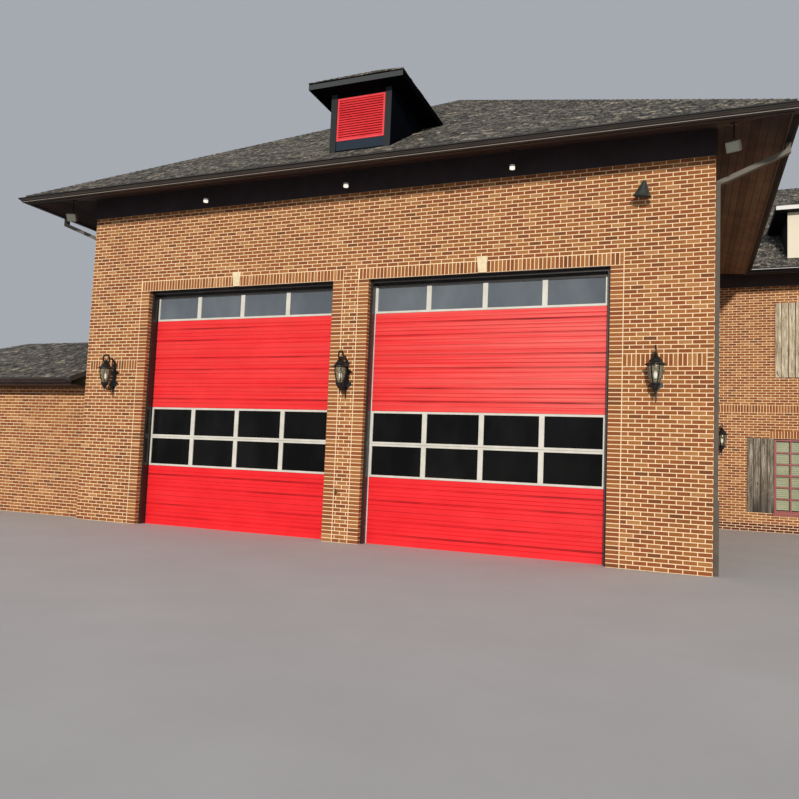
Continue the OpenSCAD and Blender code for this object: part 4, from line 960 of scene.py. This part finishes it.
def shingle_tabs(slope, rng, mean=TAB_MEAN):
    """The tabs of one slope as eight corners each, and their tones."""
    reach = (slope.edge + slope.half) / math.cos(math.atan(slope.pitch))
    s0 = np.arange(0.0, reach, EXPOSURE)
    s1 = np.minimum(s0 + EXPOSURE, reach)
    lows, highs = ends_of(slope, np.concatenate([s0, s1]))
    left_end, right_end = lows.min(), highs.max()
    count = int((right_end - left_end) / (mean * 0.8)) + 4
    widths = rng.uniform(0.55 * mean, 1.45 * mean, (len(s0), count))
    edges = left_end - rng.uniform(0, 0.4, (len(s0), 1)) + np.concatenate(
        [np.zeros((len(s0), 1)), np.cumsum(widths, axis=1)], axis=1)
    low_a, low_b = ends_of(slope, s0[:, None])
    top_a, top_b = ends_of(slope, s1[:, None])
    gap = 0.002
    a, b = edges[:, :-1] + gap, edges[:, 1:] - gap
    corners = [np.clip(a, low_a, low_b), np.clip(b, low_a, low_b),
               np.clip(b, top_a, top_b), np.clip(a, top_a, top_b)]
    keep = (corners[1] - corners[0] > 0.01) | (corners[2] - corners[3] > 0.01)
    thin = rng.choice([0.0, 0.0030, 0.0060], (len(s0), count))
    bottom = np.broadcast_to(s0[:, None], keep.shape)[keep]
    top = np.broadcast_to(s1[:, None], keep.shape)[keep]
    lift = (TAB_TOP - thin)[keep]
    u = [c[keep] for c in corners]
    s = [bottom, bottom, top, top]
    lifts = [lift, lift, np.full_like(lift, 0.001), np.full_like(lift, 0.001)]
    lower = [on_slope(slope, u[i], s[i], -0.002) for i in range(4)]
    upper = [on_slope(slope, u[i], s[i], lifts[i]) for i in range(4)]
    points = np.stack(lower + upper, axis=1)
    shade = rng.normal(0, 0.22, keep.shape) + rng.normal(0, 0.05, (len(s0), 1)) + 0.55 - thin * 25
    return points.reshape(-1, 3), np.repeat(np.clip(shade[keep], 0, 1), 8)


def shingle_piece(name, slopes, seed):
    rng = np.random.default_rng(seed)
    made = [shingle_tabs(slope, rng) for slope in slopes]
    points, tones = (np.concatenate(kind) for kind in zip(*made))
    faces = many(BOX[:, ::-1], len(points) // 8, 8)
    return new_piece(name, points, faces, shingle, "shingle", numbers={"tone": tones})

# %% [markdown]
# The main block and the right wing share one pitch and one height of eaves, and the low wing has a
# flatter roof of its own. The last two numbers of a slope say how it starts and ends: 1 for a hip,
# -1 for a valley and 0 for a wall.

# %% Shingle the roofs
def main_slope(wall, start, end):
    return Slope(wall, EDGE, EDGE_Z, PITCH, HALF, start, end)


def low_slope(wall, start, end):
    return Slope(wall, LOW_EDGE, LOW_EDGE_Z, LOW_PITCH, LOW_DEPTH / 2, start, end)


shingle_piece("front_shingles", [main_slope(front, 1, 1)], 21)
shingle_piece("left_shingles", [main_slope(left, 1, 1)], 22)
shingle_piece("right_shingles", [main_slope(right_side, -1, 1)], 23)
shingle_piece("back_shingles", [main_slope(back, 1, 1)], 24)
shingle_piece("wing_shingles", [main_slope(wing_front, 1, -1), main_slope(wing_end, 1, 1)], 25)
shingle_piece("low_wing_shingles", [low_slope(low_front, 0, 1), low_slope(low_end, 1, 1),
                                    low_slope(low_back, 1, 0)], 26)

# %% [markdown]
# The dormers have the same pitch as the main roof, so their valleys also run at half a right
# angle in plan, and the same function shingles them. Their eaves are walls of their own: the
# front edge and the two side edges, which end where the main roof comes up to meet them.

# %% Dormer shingles
Dormer = namedtuple("Dormer", "x wall_y width out top lap")
front_dormer = Dormer(0.262, WALL_FACE, 1.180, 0.440, 8.165, 0.317)
wing_dormer = Dormer(bays[0], WALL_FACE + SETBACK, 1.600, 0.440, 8.260, 0.290)


def dormer_slopes(d):
    half = d.width / 2 + d.lap
    y = d.wall_y - d.out - d.lap
    valley = d.wall_y - EDGE + (d.top - EDGE_Z) / PITCH
    run = valley - y
    return [Slope(Wall((d.x + half, y), 180, 2 * half), 0.0, d.top, PITCH, half, 1, 1),
            Slope(Wall((d.x - half, y), 90, run), 0.0, d.top, PITCH, half, 1, -1),
            Slope(Wall((d.x + half, valley), -90, run), 0.0, d.top, PITCH, half, -1, 1)]


shingle_piece("dormer_shingles", dormer_slopes(front_dormer) + dormer_slopes(wing_dormer), 27)

# %% [markdown]
# Hips and ridges are closed with cap shingles, bent over the line and lapped up it. Each cap is
# a shallow V carried along the line, proud at its lower end.

# %% Caps
CAP_HALF = 0.150
CAP_TOP = 0.016


def caps(start, stop, side, pointed):
    """Lapped V-shaped caps from start to stop. Across the line they fall on both sides by side
    for each metre, and each one's lift goes from full to a third along its length. A pointed
    line starts at a corner of the eaves and widens at half a right angle, as trimmed caps do."""
    start, stop = np.asarray(start, float), np.asarray(stop, float)
    length = np.linalg.norm(stop - start)
    d = (stop - start) / length
    across = np.cross(d, [0, 0, 1])
    across /= np.linalg.norm(across)
    rise = np.cross(across, d)
    t0 = np.arange(0.0, length - 0.05, EXPOSURE)
    t1 = np.minimum(t0 + EXPOSURE * 1.06, length)
    flat = np.linalg.norm(d[:2])
    rings = []
    for t, lift in ((t0, CAP_TOP), (t1, CAP_TOP / 3)):
        half = np.minimum(CAP_HALF, t * flat + 0.004) if pointed else np.full_like(t, CAP_HALF)
        wings = half[:, None] * np.array([-1.0, 0.0, 1.0])
        for level in (lift, -0.004):
            drop = level - np.abs(wings) * side
            rings.append(start + t[:, None, None] * d + wings[:, :, None] * across + drop[:, :, None] * rise)
    points = np.concatenate(rings, axis=1)
    pattern = np.array([[0, 1, 7, 6], [1, 2, 8, 7], [3, 9, 10, 4], [4, 10, 11, 5], [0, 3, 4, 1], [1, 4, 5, 2],
                        [6, 7, 10, 9], [7, 8, 11, 10], [0, 6, 9, 3], [2, 5, 11, 8]])
    return points.reshape(-1, 3), many(pattern, len(t0), 12)

# %% [markdown]
# The lines to close are the hips, which climb from the corners of the eaves, and the ridges
# between their tops, on the main roof and on both dormers. Measured square to the line, the roof
# falls away less steeply beside a hip than beside a ridge.

# %% Hip and ridge lines
def corner_point(x, y):
    return [x + EDGE * (1 if x > 0 else -1), y, EDGE_Z]


RIDGE = EDGE_Z + PITCH * (HALF + EDGE)
hip_side = PITCH / math.sqrt(2) / math.sqrt(1 + PITCH ** 2 / 2)
y_front, y_back = WALL_FACE - EDGE, WALL_FACE + DEPTH + EDGE
peak = np.array([0, WALL_FACE + HALF, RIDGE])
knee = np.array([0, WALL_FACE + SETBACK + HALF, RIDGE])
end_peak = np.array([WING_END - HALF, WALL_FACE + SETBACK + HALF, RIDGE])
lines = [
    (corner_point(-HALF, y_front), peak, hip_side, True), (corner_point(HALF, y_front), peak, hip_side, True),
    (corner_point(-HALF, y_back), knee, hip_side, True),
    (corner_point(WING_END, y_back), end_peak, hip_side, True),
    (corner_point(WING_END, WALL_FACE + SETBACK - EDGE), end_peak, hip_side, True),
    (peak, knee, PITCH, False), (knee, end_peak, PITCH, False),
]
for d in (front_dormer, wing_dormer):
    half = d.width / 2 + d.lap
    y = d.wall_y - d.out - d.lap
    top = np.array([d.x, y + half, d.top + half * PITCH])
    valley = d.wall_y - EDGE + (top[2] - EDGE_Z) / PITCH
    lines += [([d.x - half, y, d.top], top, hip_side, True), ([d.x + half, y, d.top], top, hip_side, True),
              (top, [d.x, valley, top[2]], PITCH, False)]
rng = np.random.default_rng(28)
capped = [caps(*line) for line in lines]
tones = [np.repeat(rng.uniform(0.3, 0.7, len(points) // 12), 12) for points, _ in capped]
new_piece("cap_shingles", *gather(capped), shingle, "shingle", ["roof_caps"], {"tone": np.concatenate(tones)})

# %% [markdown]
# ## Window bars and blinds
#
# The wing's windows have many small panes. The bars are thin strips on both sides of the sheet
# of glass, as applied bars are, and behind the glass hang pale blinds.

# %% Window bars
def blocks(wall, rows):
    """Boxes on a wall from rows of (from, to, out low, out high, z low, z high)."""
    rows = np.asarray(rows, float)
    a, b, o0, o1, z0, z1 = rows.T
    u = np.stack([a, b, b, a, a, b, b, a], axis=1)
    o = np.stack([o0, o0, o1, o1, o0, o0, o1, o1], axis=1)
    z = np.stack([z0, z0, z0, z0, z1, z1, z1, z1], axis=1)
    return stand(wall, u, o, z).reshape(-1, 3), many(BOX, len(rows), 8)


FRAME = 0.060
BAR = 0.036
PANE_WIDE, PANE_TALL = 0.330, 0.280
BAR_NEAR, BAR_FAR = 0.005, 0.017
GLASS_OUT = -(WINDOW_REVEAL + 0.045)
BLIND_OUT = GLASS_OUT - 0.060
SLAT_THICK, SLAT_TALL, SLAT_PITCH = 0.004, 0.044, 0.05
bar_parts, blind_parts = [], []
for w in windows:
    a, b = w.middle - w.width / 2 + FRAME, w.middle + w.width / 2 - FRAME
    low, high = w.sill + FRAME, w.sill + w.height - FRAME
    columns = max(2, round((b - a) / PANE_WIDE))
    lines_up = round((high - low) / PANE_TALL)
    rows = []
    for near, far in ((BAR_NEAR, BAR_FAR), (-BAR_FAR, -BAR_NEAR)):
        for x in np.linspace(a, b, columns + 1)[1:-1]:
            rows.append([x - BAR / 2, x + BAR / 2, GLASS_OUT + near, GLASS_OUT + far, low, high])
        for z in np.linspace(low, high, lines_up + 1)[1:-1]:
            rows.append([a, b, GLASS_OUT + near + 0.001, GLASS_OUT + far - 0.001, z - BAR / 2, z + BAR / 2])
    bar_parts.append(blocks(w.wall, rows))
    slats = np.arange(low + 0.02, high - 0.02, SLAT_PITCH)
    blind_parts.append(blocks(w.wall, [[a + 0.01, b - 0.01, BLIND_OUT, BLIND_OUT + SLAT_THICK, z, z + SLAT_TALL]
                                       for z in slats]))
new_piece("window_bars", *gather(bar_parts), finishes["window_red"], "window_red")
blind_paint = plain_finish("blind_slats", (0.56, 0.60, 0.36), (0.74, 0.76, 0.50), 2.0, 0.6)
new_piece("window_blinds", *gather(blind_parts), blind_paint, "siding")

# %% [markdown]
# Each lantern holds an ivory bulb that is lit. It is a ball drawn out upwards, and it shows
# through the smoky glass as one bright fleck.

# %% Bulbs
def ball(centre, radius, tall, around=12, levels=7):
    """A ball stretched upwards: radius times the cosine of each level's angle gives its rings,
    and tall times the sine its heights, closed with one point at each end."""
    angle = np.linspace(-math.pi / 2, math.pi / 2, levels + 2)[1:-1, None]
    turn_by = np.linspace(0, 2 * math.pi, around, endpoint=False)[None]
    rings = np.stack([radius * np.cos(angle) * np.cos(turn_by), radius * np.cos(angle) * np.sin(turn_by),
                      tall * np.sin(angle) + 0 * turn_by], axis=-1).reshape(-1, 3)
    points = np.concatenate([rings, [[0, 0, -tall], [0, 0, tall]]]) + centre
    i = np.arange(around)
    j = (i + 1) % around
    quads = np.concatenate([np.column_stack([k + i, k + j, k + around + j, k + around + i])
                            for k in around * np.arange(levels - 1)])
    last = around * (levels - 1)
    low = np.column_stack([j, i, np.full(around, len(points) - 2)])
    high = np.column_stack([last + i, last + j, np.full(around, len(points) - 1)])
    return points, quads, np.concatenate([low, high])


LANTERN_OUT = 0.260
PIER_BULB, WING_BULB = 2.955, 2.290
BULB_RADIUS, BULB_TALL = 0.027, 0.055
spots = [(x, WALL_FACE - LANTERN_OUT, PIER_BULB) for x in (-(OPEN_B + HALF) / 2, 0.0, 5.278)]
spots.append((HALF + 0.470, WALL_FACE + SETBACK - LANTERN_OUT, WING_BULB))
balls = [ball(np.array(spot), BULB_RADIUS, BULB_TALL) for spot in spots]
step = len(balls[0][0])
ivory = plain_finish("bulb_ivory", (0.95, 0.90, 0.78), (1.0, 0.97, 0.88), 20.0, 0.3)
glow = ivory.node_tree.nodes["Principled BSDF"].inputs
glow["Emission Color"].default_value = colour(1.0, 0.96, 0.86)
glow["Emission Strength"].default_value = 1.6
ball_faces = [many(pattern, len(balls), step) for pattern in balls[0][1:]]
new_piece("lantern_bulbs", np.concatenate([b[0] for b in balls]), ball_faces, ivory, "lamp_glass", smooth=True)

# %% [markdown]
# ## Studio
#
# A pale floor, a pale sky and one wide, soft sun. It stands low and a little to the right, as it
# does in the evening, so its light reaches under the eaves almost up to the frieze.

# %% Floor and light
floor_mesh = bpy.data.meshes.new("studio_floor")
reach = 400.0
corners = [(-reach, -reach, 0), (reach, -reach, 0), (reach, reach, 0), (-reach, reach, 0)]
floor_mesh.from_pydata(corners, [], [(0, 1, 2, 3)])
floor = bpy.data.objects.new("studio_floor", floor_mesh)
floor_mesh.materials.append(plain_finish("studio_floor", (0.56, 0.55, 0.53), (0.60, 0.59, 0.57), 0.6, 0.9))
bpy.context.scene.collection.objects.link(floor)
floor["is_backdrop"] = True

sky = bpy.data.worlds.new("sky")
sky.use_nodes = True
background = sky.node_tree.nodes["Background"].inputs
background["Color"].default_value = colour(0.86, 0.91, 1.0)
background["Strength"].default_value = 0.44
bpy.context.scene.world = sky
sun_data = bpy.data.lights.new("sun", "SUN")
sun_data.energy = 2.62
sun_data.angle = math.radians(3)
sun_data.color = (1.0, 0.955, 0.89)
sun = bpy.data.objects.new("sun", sun_data)
bpy.context.scene.collection.objects.link(sun)
toward = np.array([-0.20, 0.95, -0.25])
z_axis = -toward / np.linalg.norm(toward)
x_axis = np.cross([0, 0, 1.0], z_axis)
x_axis /= np.linalg.norm(x_axis)
turn = np.eye(4)
turn[:3, 0], turn[:3, 1], turn[:3, 2] = x_axis, np.cross(z_axis, x_axis), z_axis
sun.matrix_world = Matrix(turn.tolist())
bpy.context.scene.view_settings.view_transform = "Standard"
print("sun:", round(sun_data.energy, 2), "sky:", round(background["Strength"].default_value, 2))

# %% [markdown]
# Dressing a model must not change its size. The box of the CAD and the box of the dressed
# building are printed side by side, so that the two can be compared.

# %% Print the two boxes
boxes = {"cad": cad_box, "scene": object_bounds()}
boxes = {key: [list(map(float, corner)) for corner in box] for key, box in boxes.items()}
print("boxes:", boxes)
